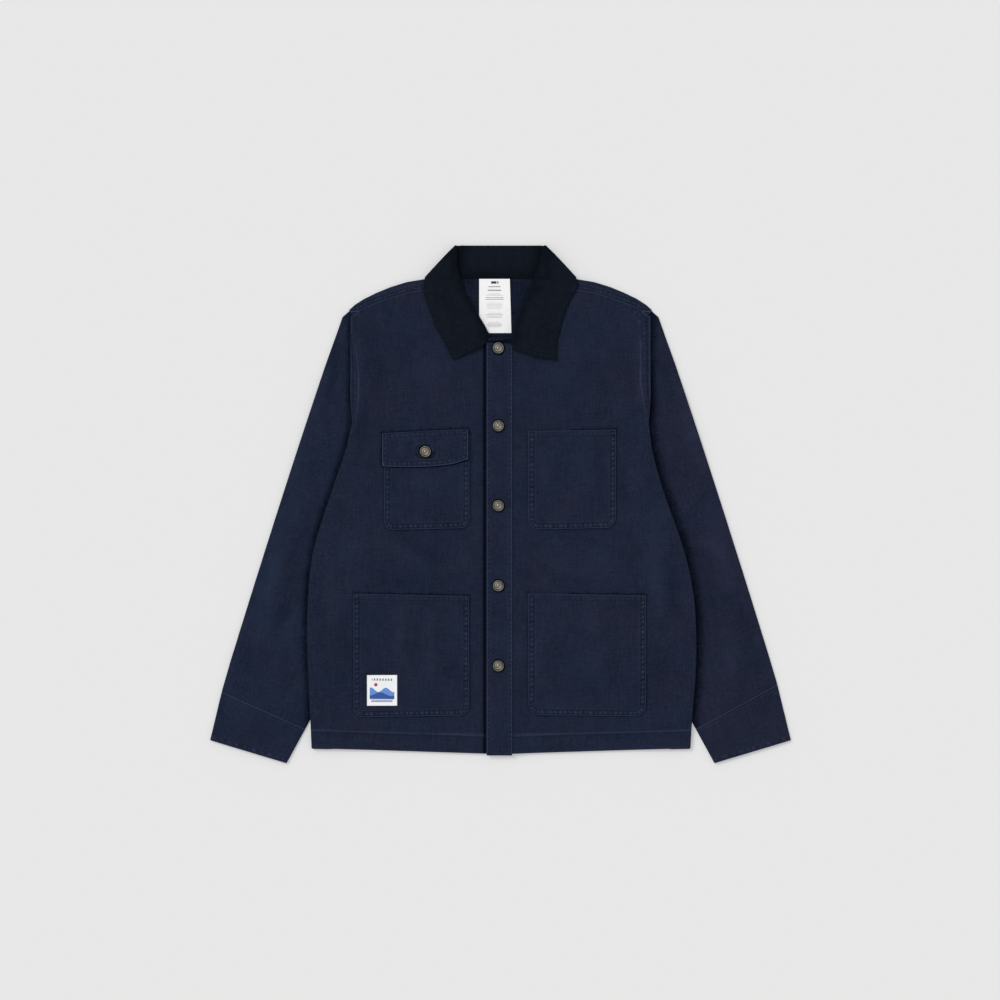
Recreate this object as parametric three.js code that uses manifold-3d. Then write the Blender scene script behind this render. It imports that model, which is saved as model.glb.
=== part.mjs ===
// A navy cotton chore jacket, buttoned up and laid flat on its back. Millimetres, +Z up.
// The cloth pieces lie in layers: sleeves and collar fall on the surface, the back over them, the fronts
// over the back, then pockets, flap, front band, labels and buttons. "right" and "left" are the wearer's:
// the wearer's right lies at -X. The origin is the middle of the jacket's box, on the surface it lies on.
import * as THREE from "three";
import { mergeVertices } from "three/addons/utils/BufferGeometryUtils.js";
import Module from "manifold-3d";

const CLOTH = 1.4; // body cloth
const HEM_EXTRA = 0.5; // what the turned hem adds on the inside
const HEM_DEPTH = 25;
const SEAM = 0.4; // between pieces at a seam
const LAY = 0.5; // between a piece and what it lies on
const POCKET_LAY = 0.8;
const LAP_LAY = 0.9; // between the two fronts where they lap
const COLLAR = 2.4; // two plies of corduroy
const COLLAR_PUFF = 1.3; // how far the fall stands up between its roll and its edge
const POCKET = 1.3;
const POCKET_MOUTH = 1.0; // how far the middle of a pocket's top edge stands up
const LABEL = 1.0;
const FOLD_GAP = 2.0; // inside gap of the body where it folds at the sides and shoulders
const FLAT_GAP = 1.0; // inside gap of the body elsewhere
const NECK_GAP = 2.6; // inside gap round the neck, where the label lies
const TUCK_GAP = 1.2; // inside gap of a sleeve where the body lies on it
const CROWN_GAP = 3.2; // inside gap of a sleeve where it lies free
const TUCK_HEIGHT = 2 * CLOTH + TUCK_GAP; // sleeve under the body
const FALL_LIFT = COLLAR + LAY; // what the collar fall adds under the back
const COLLAR_RAMP = { full: 12, run: 56 }; // where the back comes down below the collar fall
const COLLAR_SIDE = [122, 170]; // where it comes down beside the fall, from the middle
const BACK_RAMP = 62; // length of the back's ramp off a sleeve
const FRONT_RAMP = 110;

const ARMHOLE_X = 222.5;
// Above this height the sleeve joins the body edge to edge, below it the body lies on the sleeve.
const ARMHOLE_TURN_Y = 118;
const UNDERARM = { x: 140, y: 20 };
const NECK_POINT = { x: 76, y: 341 };
const BACK_NECK_Y = 338.6;
const FRONT_NECK_Y = 250;
const BAND = { edge: -20.8, seam: 17.5, top: 248.2, bottom: -376.6 };
const LAP_CLIMB = { top: 24, foot: 44 }; // where the left front comes down beside the right front's edge
const UNDER_EDGE = 16; // how far the right front reaches under the band
const OVER_EDGE = -19.6;
const HEM_MIDDLE_Y = -375.5;
const HEM_DIP = 5; // how far the back's hem bows down between its corners
const SIDE_STRIP = 9; // width of the narrow columns of points at a folded side
const SHOULDER_SEAM = [12, 17]; // depth of the front seam below the fold, at the armhole and inward

// Side of the body from the hem to where the armhole turns under: its distance from the middle.
const BODY_EDGE = [
  { y: -366, right: 283.5, left: 285 },
  { y: -322, right: 285.3, left: 287.5 },
  { y: -270, right: 287.5, left: 292 },
  { y: -225, right: 289.8, left: 294 },
  { y: -144, right: 289, left: 291 },
  { y: -73, right: 281.5, left: 277 },
  { y: -4, right: 261, left: 253 },
  { y: 36, right: 247.5, left: 239.5 },
  { y: 72, right: 235, left: 230 },
  { y: 95, right: 228, left: 225 },
  { y: ARMHOLE_TURN_Y, right: ARMHOLE_X, left: ARMHOLE_X },
];
// The shoulder's folded edge, from the armhole to the neck.
const SHOULDER_EDGE = [
  { x: 227, y: 292 },
  { x: 216, y: 301.5 },
  { x: 201, y: 310.5 },
  { x: 181.5, y: 319.5 },
  { x: 159, y: 328.3 },
  { x: 130.5, y: 335.8 },
  { x: 104, y: 339.2 },
  { x: NECK_POINT.x, y: NECK_POINT.y },
];
// Outer and inner folded edges of a sleeve, from the armhole down to the cuff's end.
const SLEEVE_OUTER = [
  { x: 227.4, y: 291.6 },
  { x: 236.5, y: 282.5 },
  { x: 242, y: 270 },
  { x: 254.3, y: 238 },
  { x: 299.4, y: 103 },
  { x: 342.5, y: -32 },
  { x: 384.6, y: -167 },
  { x: 418, y: -279 },
  { x: 436, y: -354 },
];
const SLEEVE_INNER = [
  { x: UNDERARM.x, y: UNDERARM.y },
  { x: 165, y: -50 },
  { x: 194, y: -120 },
  { x: 226, y: -200 },
  { x: 258, y: -270 },
  { x: 286.5, y: -325 },
  { x: 321, y: -388.5 },
];
const CUFF_SEAM_OUTER_Y = { right: -281, left: -270 };
const CUFF_SEAM_INNER_Y = -337;

// Neck edge of the fronts from the centre up to the neck point, where the shoulder folds.
const NECK_EDGE = [
  { x: 17, y: FRONT_NECK_Y },
  { x: 41, y: 264 },
  { x: 55.5, y: 279 },
  { x: 66, y: 295 },
  { x: 71.6, y: 309 },
  { x: 73.6, y: 320.5 },
  { x: NECK_POINT.x, y: NECK_POINT.y },
];

// Collar sections from the centre front to the shoulder, on each side. share is the place of the neck seam
// along the neck edge, roll and edge are the plan of the roll line and the outer edge, bow is how far the
// fall hangs down between them, and drop is how far its start hangs below the stand at the centre front.
const COLLAR_FRONT = {
  right: [
    { share: 0.02, roll: [15, 255.3], edge: [70.5, 216.5], bow: 1, drop: 2.5 },
    { share: 0.11, roll: [20, 263], edge: [76, 226.5], bow: 0, drop: 1 },
    { share: 0.22, roll: [27, 274], edge: [83.5, 240], bow: 0 },
    { share: 0.4, roll: [38.5, 293], edge: [95, 262.5], bow: 0 },
    { share: 0.58, roll: [51, 314], edge: [104.5, 286.5], bow: 0 },
    { share: 0.74, roll: [59, 334], edge: [112, 305], bow: 0 },
    { share: 0.88, roll: [65, 357], edge: [115.5, 323], bow: 0 },
  ],
  left: [
    { share: 0.02, roll: [16.2, 254], edge: [84.5, 215.5], bow: 1, drop: 13 },
    { share: 0.11, roll: [18, 260], edge: [83.5, 230], bow: 0, drop: 5 },
    { share: 0.22, roll: [21.5, 269], edge: [85, 247], bow: 0 },
    { share: 0.4, roll: [29.5, 290], edge: [91, 271], bow: 0 },
    { share: 0.58, roll: [39, 312], edge: [97, 291], bow: 0 },
    { share: 0.74, roll: [48, 334], edge: [106, 310], bow: 0 },
    { share: 0.88, roll: [57.5, 359], edge: [117, 328.5], bow: 0 },
  ],
};
// The corner where the collar folds over at the end of the shoulder; outward is the way its fall points.
const COLLAR_CORNER = { neck: [73, 343], roll: [66, 388], edge: [114.6, 342.6], outward: [0.718, 0.696] };
// How far the neck seam and the outer edge move along the corner's fold, for each radian that it turns.
const CORNER_DRIFT = { neck: 0.8, edge: [2.2, 0.6] };
const ROLL_RADIUS = { front: 2.2, back: 1.6 };
const COLLAR_BACK = [
  { neck: [66, 339.6], roll: [58, 388.5], edge: [90, 330] },
  { neck: [45, BACK_NECK_Y + SEAM], roll: [42, 388.5], edge: [60, 323.5] },
  { neck: [23, BACK_NECK_Y + SEAM], roll: [21, 388.5], edge: [30, 319.5] },
  { neck: [0, BACK_NECK_Y + SEAM], roll: [0, 388.5], edge: [0, 318] },
];

// Patch pockets by their corners; the round bottom corners have the radius given.
const POCKETS = {
  chest_pocket_right: { left: -174, right: -46.5, top: 103.5, bottom: -37, round: 12, slant: 3 },
  chest_pocket_left: { left: 42, right: 173, top: 111, bottom: -36.5, round: 15, slant: 2.5 },
  hip_pocket_right: { left: -220, right: -47, top: -135.5, bottom: -318, round: 14, slant: -4 },
  hip_pocket_left: { left: 42, right: 218, top: -135, bottom: -317, round: 16, slant: -2 },
};
const FLAP = { left: -177, right: -48.5, top: 110, bottom: 60.5, slant: 6.5 };
const FLAP_EDGE = { bow: 4, cornerRise: 4, cornerLift: 1.5 };
const BUTTON = { radius: 8.3, height: 4.2, shank: 1.5, ys: [234, 117.5, -2, -122, -242], x: -3.3 };
const FLAP_BUTTON = { x: -112.5, y: 79 };
const BUTTONHOLE = { long: 13, wide: 3.8, deep: 40 };
const NECK_LABEL = { left: -32, right: 14, top: BACK_NECK_Y - SEAM, bottom: 257, flare: 2.5 };
const POCKET_LABEL = { left: -200, right: -155, top: -256, bottom: -302 };

const mix = (a, b, t) => a + (b - a) * t;
const clamp = (v, lo, hi) => Math.min(hi, Math.max(lo, v));
const smooth = (lo, hi, v) => {
  const t = clamp((v - lo) / (hi - lo), 0, 1);
  return t * t * (3 - 2 * t);
};
const radians = THREE.MathUtils.degToRad;
const sideName = (side) => (side < 0 ? "right" : "left");

// A smooth curve in plan through a table of points, read by its share of the whole length.
function curve(points) {
  const line = new THREE.CatmullRomCurve3(
    points.map((p) => new THREE.Vector3(p.x, p.y, 0)),
    false,
    "centripetal",
  );
  line.arcLengthDivisions = 400;
  return (t) => {
    const p = line.getPointAt(clamp(t, 0, 1));
    return { x: p.x, y: p.y };
  };
}

// The share of a curve's length at which its x or y passes a value, where that only climbs or only falls.
function shareAt(line, axis, value) {
  const rising = line(1)[axis] > line(0)[axis];
  let low = 0;
  let high = 1;
  for (let i = 0; i < 40; i++) {
    const t = (low + high) / 2;
    if (line(t)[axis] < value === rising) low = t;
    else high = t;
  }
  return (low + high) / 2;
}

const bodyEdge = {
  right: curve(BODY_EDGE.map((r) => ({ x: r.right, y: r.y }))),
  left: curve(BODY_EDGE.map((r) => ({ x: r.left, y: r.y }))),
};
const shoulderEdge = curve(SHOULDER_EDGE);
const sleeveOuter = curve(SLEEVE_OUTER);
const sleeveInner = curve(SLEEVE_INNER);
const neckEdge = curve(NECK_EDGE);

// How far the body's folded side lies from the middle at a height, on one side.
function edgeOut(side, y) {
  if (y >= ARMHOLE_TURN_Y) return ARMHOLE_X;
  const line = bodyEdge[sideName(side)];
  return line(shareAt(line, "y", Math.max(y, BODY_EDGE[0].y))).x;
}

// Distance from a point to the sleeve's part under the body, 0 where the sleeve lies under the point.
const TUCK = [{ x: ARMHOLE_X, y: ARMHOLE_TURN_Y }, ...SLEEVE_INNER.slice(0, 6)];
function tuckDistance(out, y) {
  let nearest = Infinity;
  let crossings = 0;
  TUCK.slice(1).forEach((b, i) => {
    const a = TUCK[i];
    const step = { x: b.x - a.x, y: b.y - a.y };
    const t = clamp(((out - a.x) * step.x + (y - a.y) * step.y) / (step.x ** 2 + step.y ** 2), 0, 1);
    nearest = Math.min(nearest, Math.hypot(out - mix(a.x, b.x, t), y - mix(a.y, b.y, t)));
    if (y < a.y !== y < b.y && out > mix(a.x, b.x, (y - a.y) / step.y)) crossings++;
  });
  return crossings % 2 ? 0 : nearest;
}

const collarEdgeY = (out) => 318 + 23 * (Math.min(out, 114) / 114) ** 2;

// Height of the underside of the back above the surface; run is the length of the ramp off the sleeve.
function lift(x, y, run) {
  const out = Math.abs(x);
  const onSleeve = (TUCK_HEIGHT + POCKET_LAY) * (1 - smooth(12, run, tuckDistance(out, y)));
  const { full, run: fall } = COLLAR_RAMP;
  const nearFall = smooth(collarEdgeY(out) - fall, collarEdgeY(out) - full, y);
  const besideFall = smooth(...COLLAR_SIDE, out);
  return onSleeve + FALL_LIFT * nearFall * (1 - besideFall);
}
const shoulderY = (out) => shoulderEdge(shareAt(shoulderEdge, "x", out)).y;

// Inside gap between back and front: wide at the folded edges and the hem, narrow elsewhere.
function bodyGap(x, y) {
  const side = Math.sign(x) || 1;
  const out = Math.abs(x);
  const nearSide = 1 - smooth(6, 60, edgeOut(side, y) - out);
  const nearShoulder = 1 - smooth(26, 90, shoulderY(clamp(out, NECK_POINT.x, 226)) - y);
  const nearHem = 1 - smooth(HEM_DEPTH + 5, 80, y + 372);
  const nearNeck = 1 - smooth(70, 150, Math.hypot(x, y - 300));
  return Math.max(mix(FLAT_GAP, FOLD_GAP, Math.max(nearSide, nearShoulder, nearHem)), NECK_GAP * nearNeck);
}

const backMid = (x, y) => lift(x, y, BACK_RAMP) + CLOTH / 2;
const frontMid = (x, y) => lift(x, y, FRONT_RAMP) + 1.5 * CLOTH + bodyGap(x, y);
// The left front climbs over the edge of the right front.
const lapClimb = (x) => 1 - clamp((x - LAP_CLIMB.top) / (LAP_CLIMB.foot - LAP_CLIMB.top), 0, 1);
const overMid = (x, y) => frontMid(x, y) + (CLOTH + LAP_LAY) * lapClimb(x);
const midOf = { right: frontMid, left: overMid };

// Closed wall from a grid of points on its middle surface. thick(i, j) gives the depths on the two sides;
// shown(i, j) says which cells exist, and ring joins the last column to the first. A point may carry
// the way it faces.
function wall(grid, thick, { ring = false, shown = () => true } = {}) {
  const rows = grid.length;
  const cols = grid[0].length;
  const cells = ring ? cols : cols - 1;
  const wrap = (j) => (ring ? (j + cols) % cols : j);
  const at = (i, j) => grid[i][wrap(j)];
  const live = (i, j) => i >= 0 && i < rows - 1 && (ring || (j >= 0 && j < cells)) && shown(i, wrap(j));
  const corners = (i, j) => [[i, j], [i, j + 1], [i + 1, j + 1], [i + 1, j]];
  const points = [[], []];
  for (let i = 0; i < rows; i++) {
    for (let j = 0; j < cols; j++) {
      const normal = new THREE.Vector3();
      for (const [di, dj] of [[0, 0], [0, -1], [-1, 0], [-1, -1]]) {
        if (!live(i + di, j + dj)) continue;
        const [a, b, c, d] = corners(i + di, j + dj).map(([row, col]) => at(row, col));
        const falling = new THREE.Vector3().subVectors(c, a);
        const rising = new THREE.Vector3().subVectors(d, b);
        normal.add(new THREE.Vector3().crossVectors(falling, rising).normalize());
      }
      normal.normalize();
      if (at(i, j).facing) normal.copy(at(i, j).facing);
      const [up, low] = thick(i, j);
      points[0].push(at(i, j).clone().addScaledVector(normal, up));
      points[1].push(at(i, j).clone().addScaledVector(normal, -low));
    }
  }
  // Nothing reaches below the surface that the jacket lies on.
  points.flat().forEach((p) => (p.z = Math.max(0, p.z)));
  const position = [];
  const quad = (a, b, c, d) => [a, b, c, a, c, d].forEach((p) => position.push(p.x, p.y, p.z));
  for (let i = 0; i < rows - 1; i++) {
    for (let j = 0; j < cells; j++) {
      if (!live(i, j)) continue;
      const [a, b, c, d] = corners(i, j).map(([row, col]) => points[0][row * cols + wrap(col)]);
      const [e, f, g, h] = corners(i, j).map(([row, col]) => points[1][row * cols + wrap(col)]);
      quad(a, b, c, d);
      quad(e, h, g, f);
      if (!live(i - 1, j)) quad(e, f, b, a);
      if (!live(i + 1, j)) quad(d, c, g, h);
      if (!live(i, j - 1)) quad(h, e, a, d);
      if (!live(i, j + 1)) quad(f, g, c, b);
    }
  }
  const geometry = new THREE.BufferGeometry();
  geometry.setAttribute("position", new THREE.Float32BufferAttribute(position, 3));
  return geometry;
}

const V = (x, y, z) => new THREE.Vector3(x, y, z);
const even = (n) => Array.from({ length: n + 1 }, (_, i) => i / n);
const half = (t) => [t / 2, t / 2];
// Shares of a panel's height for its rows: close together in the hem, then even.
const ROWS = [0, 0.03, 0.042, ...even(18).slice(1, -2), 0.915, 0.935, 0.955, 0.975, 1];
const CURL = [9, 36, 63, 90].map(radians); // where the side's quarter turn is sampled

// Points across one side of a body panel, from the folded edge inwards to the flat cloth. turn is 1 where
// the side is folded and 0 at the armhole seam; up is 1 for the front and -1 for the back.
function sideColumns(side, edge, mid, up) {
  const turn = 1 - smooth(ARMHOLE_TURN_Y - 30, ARMHOLE_TURN_Y + 6, edge.y);
  const radius = (CLOTH + FOLD_GAP) / 2;
  const columns = CURL.map((angle, i) => {
    const inset = mix(SEAM / 2 + i * 1.4, CLOTH / 2 + radius * (1 - Math.cos(angle)), turn);
    const x = side * (edge.x - inset);
    const flat = mid(x, edge.y);
    const point = V(x, edge.y, flat - up * turn * radius * (1 - Math.sin(angle)));
    const tilt = mix(radians(90), angle, turn);
    point.facing = V(side * Math.cos(tilt) * up, 0, Math.sin(tilt));
    return point;
  });
  const inner = side * (edge.x - SIDE_STRIP);
  columns.push(V(inner, edge.y, mid(inner, edge.y)));
  return columns;
}

// The body's edge from hem to shoulder seam, by share of its height.
function edgeLine(side, topY) {
  return (t) => {
    const y = mix(BODY_EDGE[0].y, topY, t);
    return { x: edgeOut(side, y), y };
  };
}

// Share t along the shoulder, at a depth below its folded edge.
function shoulderPoint(t, depth) {
  const a = shoulderEdge(t);
  const b = shoulderEdge(t + 0.01);
  const c = shoulderEdge(t - 0.01);
  const slope = Math.atan2(b.y - c.y, c.x - b.x);
  return { x: a.x - Math.sin(slope) * depth, y: a.y - Math.cos(slope) * depth };
}
const seamDepth = (t) => mix(...SHOULDER_SEAM, smooth(0, 0.5, t));
const seamLine = (t) => shoulderPoint(t, seamDepth(t) + SEAM);

// Height of the forward shoulder seam at a distance from the middle.
const seamY = (out) => seamLine(shareAt(seamLine, "x", out)).y;

// A front's rows: up its centre edge, then along the lapped part of the neck and round the neck's curve.
const NECK_SHARE = 0.8;
const NECK_ROWS = 9;
const FRONT_ROWS = [
  0,
  0.03,
  0.042,
  ...even(16).slice(1).map((t) => t * NECK_SHARE),
  ...even(NECK_ROWS).slice(1).map((t) => mix(NECK_SHARE, 1, t)),
];

function frontPanel(side, centreX) {
  const mid = midOf[sideName(side)];
  const topY = seamY(ARMHOLE_X) - SEAM / 2;
  const edge = edgeLine(side, topY);
  const neckTop = { x: seamLine(1).x, y: seamLine(1).y - SEAM / 2 };
  const seamShare = shareAt(neckEdge, "y", neckTop.y);
  const centre = (t) => {
    if (t <= NECK_SHARE) return { x: centreX, y: mix(HEM_MIDDLE_Y, FRONT_NECK_Y, t / NECK_SHARE) };
    const row = ((t - NECK_SHARE) / (1 - NECK_SHARE)) * NECK_ROWS;
    if (row < 1) return { x: mix(centreX, side * NECK_EDGE[0].x, row), y: FRONT_NECK_Y };
    const p = neckEdge((seamShare * (row - 1)) / (NECK_ROWS - 1));
    return { x: side * p.x, y: p.y };
  };
  // Lines up the panel that its columns follow, from the pockets to the centre edge.
  const lines = side > 0 ? [LAP_CLIMB.foot, 30, LAP_CLIMB.top, 0, centreX] : [-41, -19, centreX];
  const rows = FRONT_ROWS.map((t) => {
    const columns = sideColumns(side, edge(t), mid, 1);
    const start = columns.at(-1);
    const end = centre(t);
    const share = (x) => (start.x - x) / (start.x - centreX);
    const across = [...even(6).slice(1).map((s) => s * share(lines[0])), ...lines.slice(1).map(share)];
    columns.push(...across.map((s) => V(mix(start.x, end.x, s), mix(start.y, end.y, s), 0)));
    // The row bends to the shoulder seam as it nears it.
    const bend = smooth(0.84, 1, t);
    const outerX = ARMHOLE_X - SIDE_STRIP;
    columns.forEach((p, k) => {
      const out = Math.abs(p.x);
      const straightY = mix(topY, neckTop.y, clamp((outerX - out) / (outerX - neckTop.x), 0, 1));
      p.y += bend * (seamY(clamp(out, neckTop.x, ARMHOLE_X)) - SEAM / 2 - straightY);
      if (k >= CURL.length || t > 0.9) p.z = mid(p.x, p.y);
    });
    return side < 0 ? columns : columns.reverse();
  });
  return wall(rows, (i) => [CLOTH / 2, CLOTH / 2 + (i < 2 ? HEM_EXTRA : 0)]);
}

// Back panel: its folded shoulders turn over to the front and end at the front shoulder seam.
function backPanel() {
  const acrossShoulder = [0, 0.07, 0.17, 0.3, 0.44, 0.6, 0.8, 1];
  const acrossNeck = even(6).slice(1, -1);
  const neckX = NECK_POINT.x;
  const topPoints = [
    ...acrossShoulder.map((s) => ({ side: -1, s })),
    ...acrossNeck.map((s) => ({ x: mix(-neckX, neckX, s) })),
    ...acrossShoulder.toReversed().map((s) => ({ side: 1, s })),
  ];
  const foldRadius = (CLOTH + FOLD_GAP) / 2;
  const inset = CLOTH / 2 + foldRadius;
  const topPlan = topPoints.map((p) => {
    if (p.side === undefined) return { x: p.x, y: BACK_NECK_Y };
    const q = shoulderPoint(p.s, inset);
    return { x: p.side * Math.min(q.x, ARMHOLE_X - SEAM / 2), y: q.y };
  });
  const last = topPlan.length - 1;
  const topY = topPlan[0].y;
  const edges = [edgeLine(-1, topY), edgeLine(1, topY)];
  const body = ROWS.map((t) => {
    const left = sideColumns(-1, edges[0](t), backMid, -1);
    const right = sideColumns(1, edges[1](t), backMid, -1);
    const core = topPlan.map((top, k) => {
      const s = k / last;
      const level = (axis) => mix(left.at(-1)[axis], right.at(-1)[axis], s);
      const x = level("x") + t * (top.x - mix(topPlan[0].x, topPlan[last].x, s));
      const y = level("y") + t * (top.y - topY) - (1 - t) * HEM_DIP * Math.sin(Math.PI * s);
      return V(x, y, backMid(x, y));
    });
    return [...left.slice(0, -1), ...core, ...right.slice(0, -1).reverse()];
  });
  // Rows over the shoulder, in its columns alone: round the fold, then over the front to the seam.
  const skirt = CURL.length;
  const turns = [-45, 0, 45, 90].map(radians);
  const over = [...turns.map((angle) => ({ angle })), { share: 0.5 }, { share: 1 }];
  const wrapped = over.map(({ angle, share }) => {
    const row = topPoints.map((p, k) => {
      const flat = topPlan[k];
      if (p.side === undefined) return V(flat.x, flat.y, backMid(flat.x, flat.y));
      const low = backMid(flat.x, flat.y);
      const high = frontMid(flat.x, flat.y);
      const radius = (high - low) / 2;
      const depth =
        share === undefined
          ? inset - radius * Math.cos(angle)
          : mix(inset, seamDepth(p.s) - CLOTH / 4, share);
      const q = shoulderPoint(p.s, depth);
      const x = p.side * Math.min(q.x, ARMHOLE_X - SEAM / 2 + 5);
      const z = share === undefined ? (low + high) / 2 + radius * Math.sin(angle) : frontMid(x, q.y);
      return V(x, q.y, z);
    });
    const pad = (p) => Array.from({ length: skirt }, () => p.clone());
    return [...pad(row[0]), ...row, ...pad(row.at(-1))];
  });
  const rows = [...body, ...wrapped];
  const firstWrap = body.length - 1;
  const shoulderCells = acrossShoulder.length - 1;
  const shown = (i, j) => {
    if (i < firstWrap) return true;
    const k = j - skirt;
    return (k >= 0 && k < shoulderCells) || (k >= last - shoulderCells && k < last);
  };
  return wall(rows, (i) => [CLOTH / 2 + (i < 2 ? HEM_EXTRA : 0), CLOTH / 2], { shown });
}

// A flattened tube between two lines: plan(s, v) runs from the outer edge (s 0) to the inner edge (s 1).
// gap(x, y) is the inside gap at a place.
function flatTube(side, plan, gap, vs, thickness) {
  const turns = [-90, -45, 0, 45, 90].map(radians);
  const across = even(8).slice(1, -1);
  const rings = vs.map((v) => {
    const outer = plan(0, v);
    const inner = plan(1, v);
    const fold = (point, towards) => {
      const radius = (thickness + gap(point.x, point.y)) / 2;
      const length = Math.hypot(towards.x - point.x, towards.y - point.y);
      const dir = { x: (towards.x - point.x) / length, y: (towards.y - point.y) / length };
      return turns.map((a) => {
        const inset = thickness / 2 + radius * (1 - Math.cos(a));
        const height = thickness / 2 + radius * (1 + Math.sin(a));
        return V(point.x + dir.x * inset, point.y + dir.y * inset, height);
      });
    };
    const top = across.map((s) => {
      const p = plan(s, v);
      return V(p.x, p.y, 1.5 * thickness + gap(p.x, p.y));
    });
    const under = across.map((s) => {
      const p = plan(s, v);
      return V(p.x, p.y, thickness / 2);
    });
    const outerFold = fold(outer, plan(0.06, v));
    const innerFold = fold(inner, plan(0.94, v)).reverse();
    const ring = [...outerFold, ...top, ...innerFold, ...under.reverse()];
    ring.forEach((p) => (p.x *= side));
    return side < 0 ? ring : ring.reverse();
  });
  return wall(rings, () => half(thickness), { ring: true });
}

// Inside gap of a sleeve: pressed flat under the body, higher where it lies free.
function sleeveGap(side) {
  return (out, y) => {
    const free = out - edgeOut(side, y);
    const pressed = mix(TUCK_GAP, FOLD_GAP, smooth(ARMHOLE_TURN_Y + 25, ARMHOLE_TURN_Y + 85, y));
    const rise = (CROWN_GAP - TUCK_GAP) * smooth(4, 50, free) * smooth(0, 90, 292 - y);
    const toEdge = smooth(0, 40, sleeveOuter(shareAt(sleeveOuter, "y", y)).x - out);
    return pressed + mix(0.4, 1, toEdge) * rise;
  };
}

const armholeLine = curve([
  { x: ARMHOLE_X + 3.6, y: 289 },
  { x: ARMHOLE_X + 0.6, y: 275 },
  { x: ARMHOLE_X + SEAM / 2, y: 240 },
  { x: ARMHOLE_X + SEAM / 2, y: 180 },
  { x: ARMHOLE_X + SEAM / 2, y: ARMHOLE_TURN_Y + 6 },
  { x: 214, y: 106 },
  { x: 180, y: 68 },
  { x: UNDERARM.x, y: UNDERARM.y },
]);

function cuffSeam(side) {
  const outer = sleeveOuter(shareAt(sleeveOuter, "y", CUFF_SEAM_OUTER_Y[sideName(side)]));
  const inner = sleeveInner(shareAt(sleeveInner, "y", CUFF_SEAM_INNER_Y));
  return { outer, inner };
}

const SLEEVE_RINGS = [0, 0.02, 0.05, ...even(14).slice(1)];
function sleeve(side) {
  const seam = cuffSeam(side);
  const outerEnd = shareAt(sleeveOuter, "y", seam.outer.y);
  const innerEnd = shareAt(sleeveInner, "y", seam.inner.y);
  const top = { outer: armholeLine(0), inner: armholeLine(1) };
  // Between the two folded edges, bent near the top to the armhole.
  const plan = (s, v) => {
    const outer = sleeveOuter(v * outerEnd);
    const inner = sleeveInner(v * innerEnd);
    const armhole = armholeLine(s);
    const place = (axis) => {
      const bend = armhole[axis] - mix(top.outer[axis], top.inner[axis], s);
      const start = (1 - s) * (top.outer[axis] - sleeveOuter(0)[axis]);
      return mix(outer[axis], inner[axis], s) + (1 - v) * (bend + start);
    };
    return { x: place("x"), y: place("y") };
  };
  return flatTube(side, plan, sleeveGap(side), SLEEVE_RINGS, CLOTH);
}

function cuff(side) {
  const seam = cuffSeam(side);
  const end = { outer: SLEEVE_OUTER.at(-1), inner: SLEEVE_INNER.at(-1) };
  const shift = SEAM / Math.hypot(end.outer.x - seam.outer.x, end.outer.y - seam.outer.y);
  const plan = (s, v) => {
    const w = mix(shift, 1, v);
    const a = { x: mix(seam.outer.x, seam.inner.x, s), y: mix(seam.outer.y, seam.inner.y, s) };
    const b = { x: mix(end.outer.x, end.inner.x, s), y: mix(end.outer.y, end.inner.y, s) };
    return { x: mix(a.x, b.x, w), y: mix(a.y, b.y, w) };
  };
  return flatTube(side, plan, sleeveGap(side), even(3), CLOTH);
}

// One section of the collar: up the stand from the neck seam, round the roll and down the fall to the edge.
// turn is the angle of the way from stand to fall: 90 degrees up on the fronts, -90 down at the back.
function collarSection(side, shape) {
  const { neck, roll, edge, neckZ, edgeZ, rollZ, turn, radius, outward, puff, bow = 0, drop = 0 } = shape;
  const flip = (p) => ({ x: side * p[0], y: p[1] });
  const n = flip(neck);
  const r = flip(roll);
  const e = flip(edge);
  const middle = { x: (n.x + e.x) / 2, y: (n.y + e.y) / 2 };
  const length = Math.hypot(r.x - middle.x, r.y - middle.y);
  const apex = V((r.x - middle.x) / length, (r.y - middle.y) / length, 0);
  const across = V(side * outward[0] * Math.cos(turn), outward[1] * Math.cos(turn), Math.sin(turn));
  const centre = V(r.x, r.y, rollZ).addScaledVector(apex, -radius - COLLAR / 2);
  const start = V(n.x, n.y, neckZ);
  const end = V(e.x, e.y, edgeZ);
  const standTop = centre.clone().addScaledVector(across, -radius);
  const fallTop = centre.clone().addScaledVector(across, radius);
  const bend = (a) => V(0, 0, 0).addScaledVector(apex, Math.cos(a)).addScaledVector(across, Math.sin(a));
  const fallen = (point, share) => point.setY(point.y - drop * share);
  fallen(fallTop, 1);
  return [
    start,
    start.clone().lerp(standTop, 0.5),
    standTop,
    ...[-45, 0, 45].map((a) => {
      return fallen(centre.clone().addScaledVector(bend(radians(a)), radius), ((a + 90) / 180) ** 2);
    }),
    fallTop,
    ...[0.3, 0.6, 0.85, 1].map((s) => {
      const point = fallTop.clone().lerp(end, s);
      point.y -= bow * Math.sin(Math.PI * s ** 0.6);
      return point.addScaledVector(across, puff * Math.sin(Math.PI * s ** 0.8));
    }),
  ];
}

// A place on the neck seam of the collar, just inside the neck edge of the body.
function besideNeck(share) {
  const p = neckEdge(share);
  const ahead = neckEdge(share + 0.02);
  const behind = neckEdge(share - 0.02);
  const length = Math.hypot(ahead.x - behind.x, ahead.y - behind.y);
  const away = SEAM + 0.6;
  return [p.x - ((ahead.y - behind.y) / length) * away, p.y + ((ahead.x - behind.x) / length) * away];
}

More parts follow.
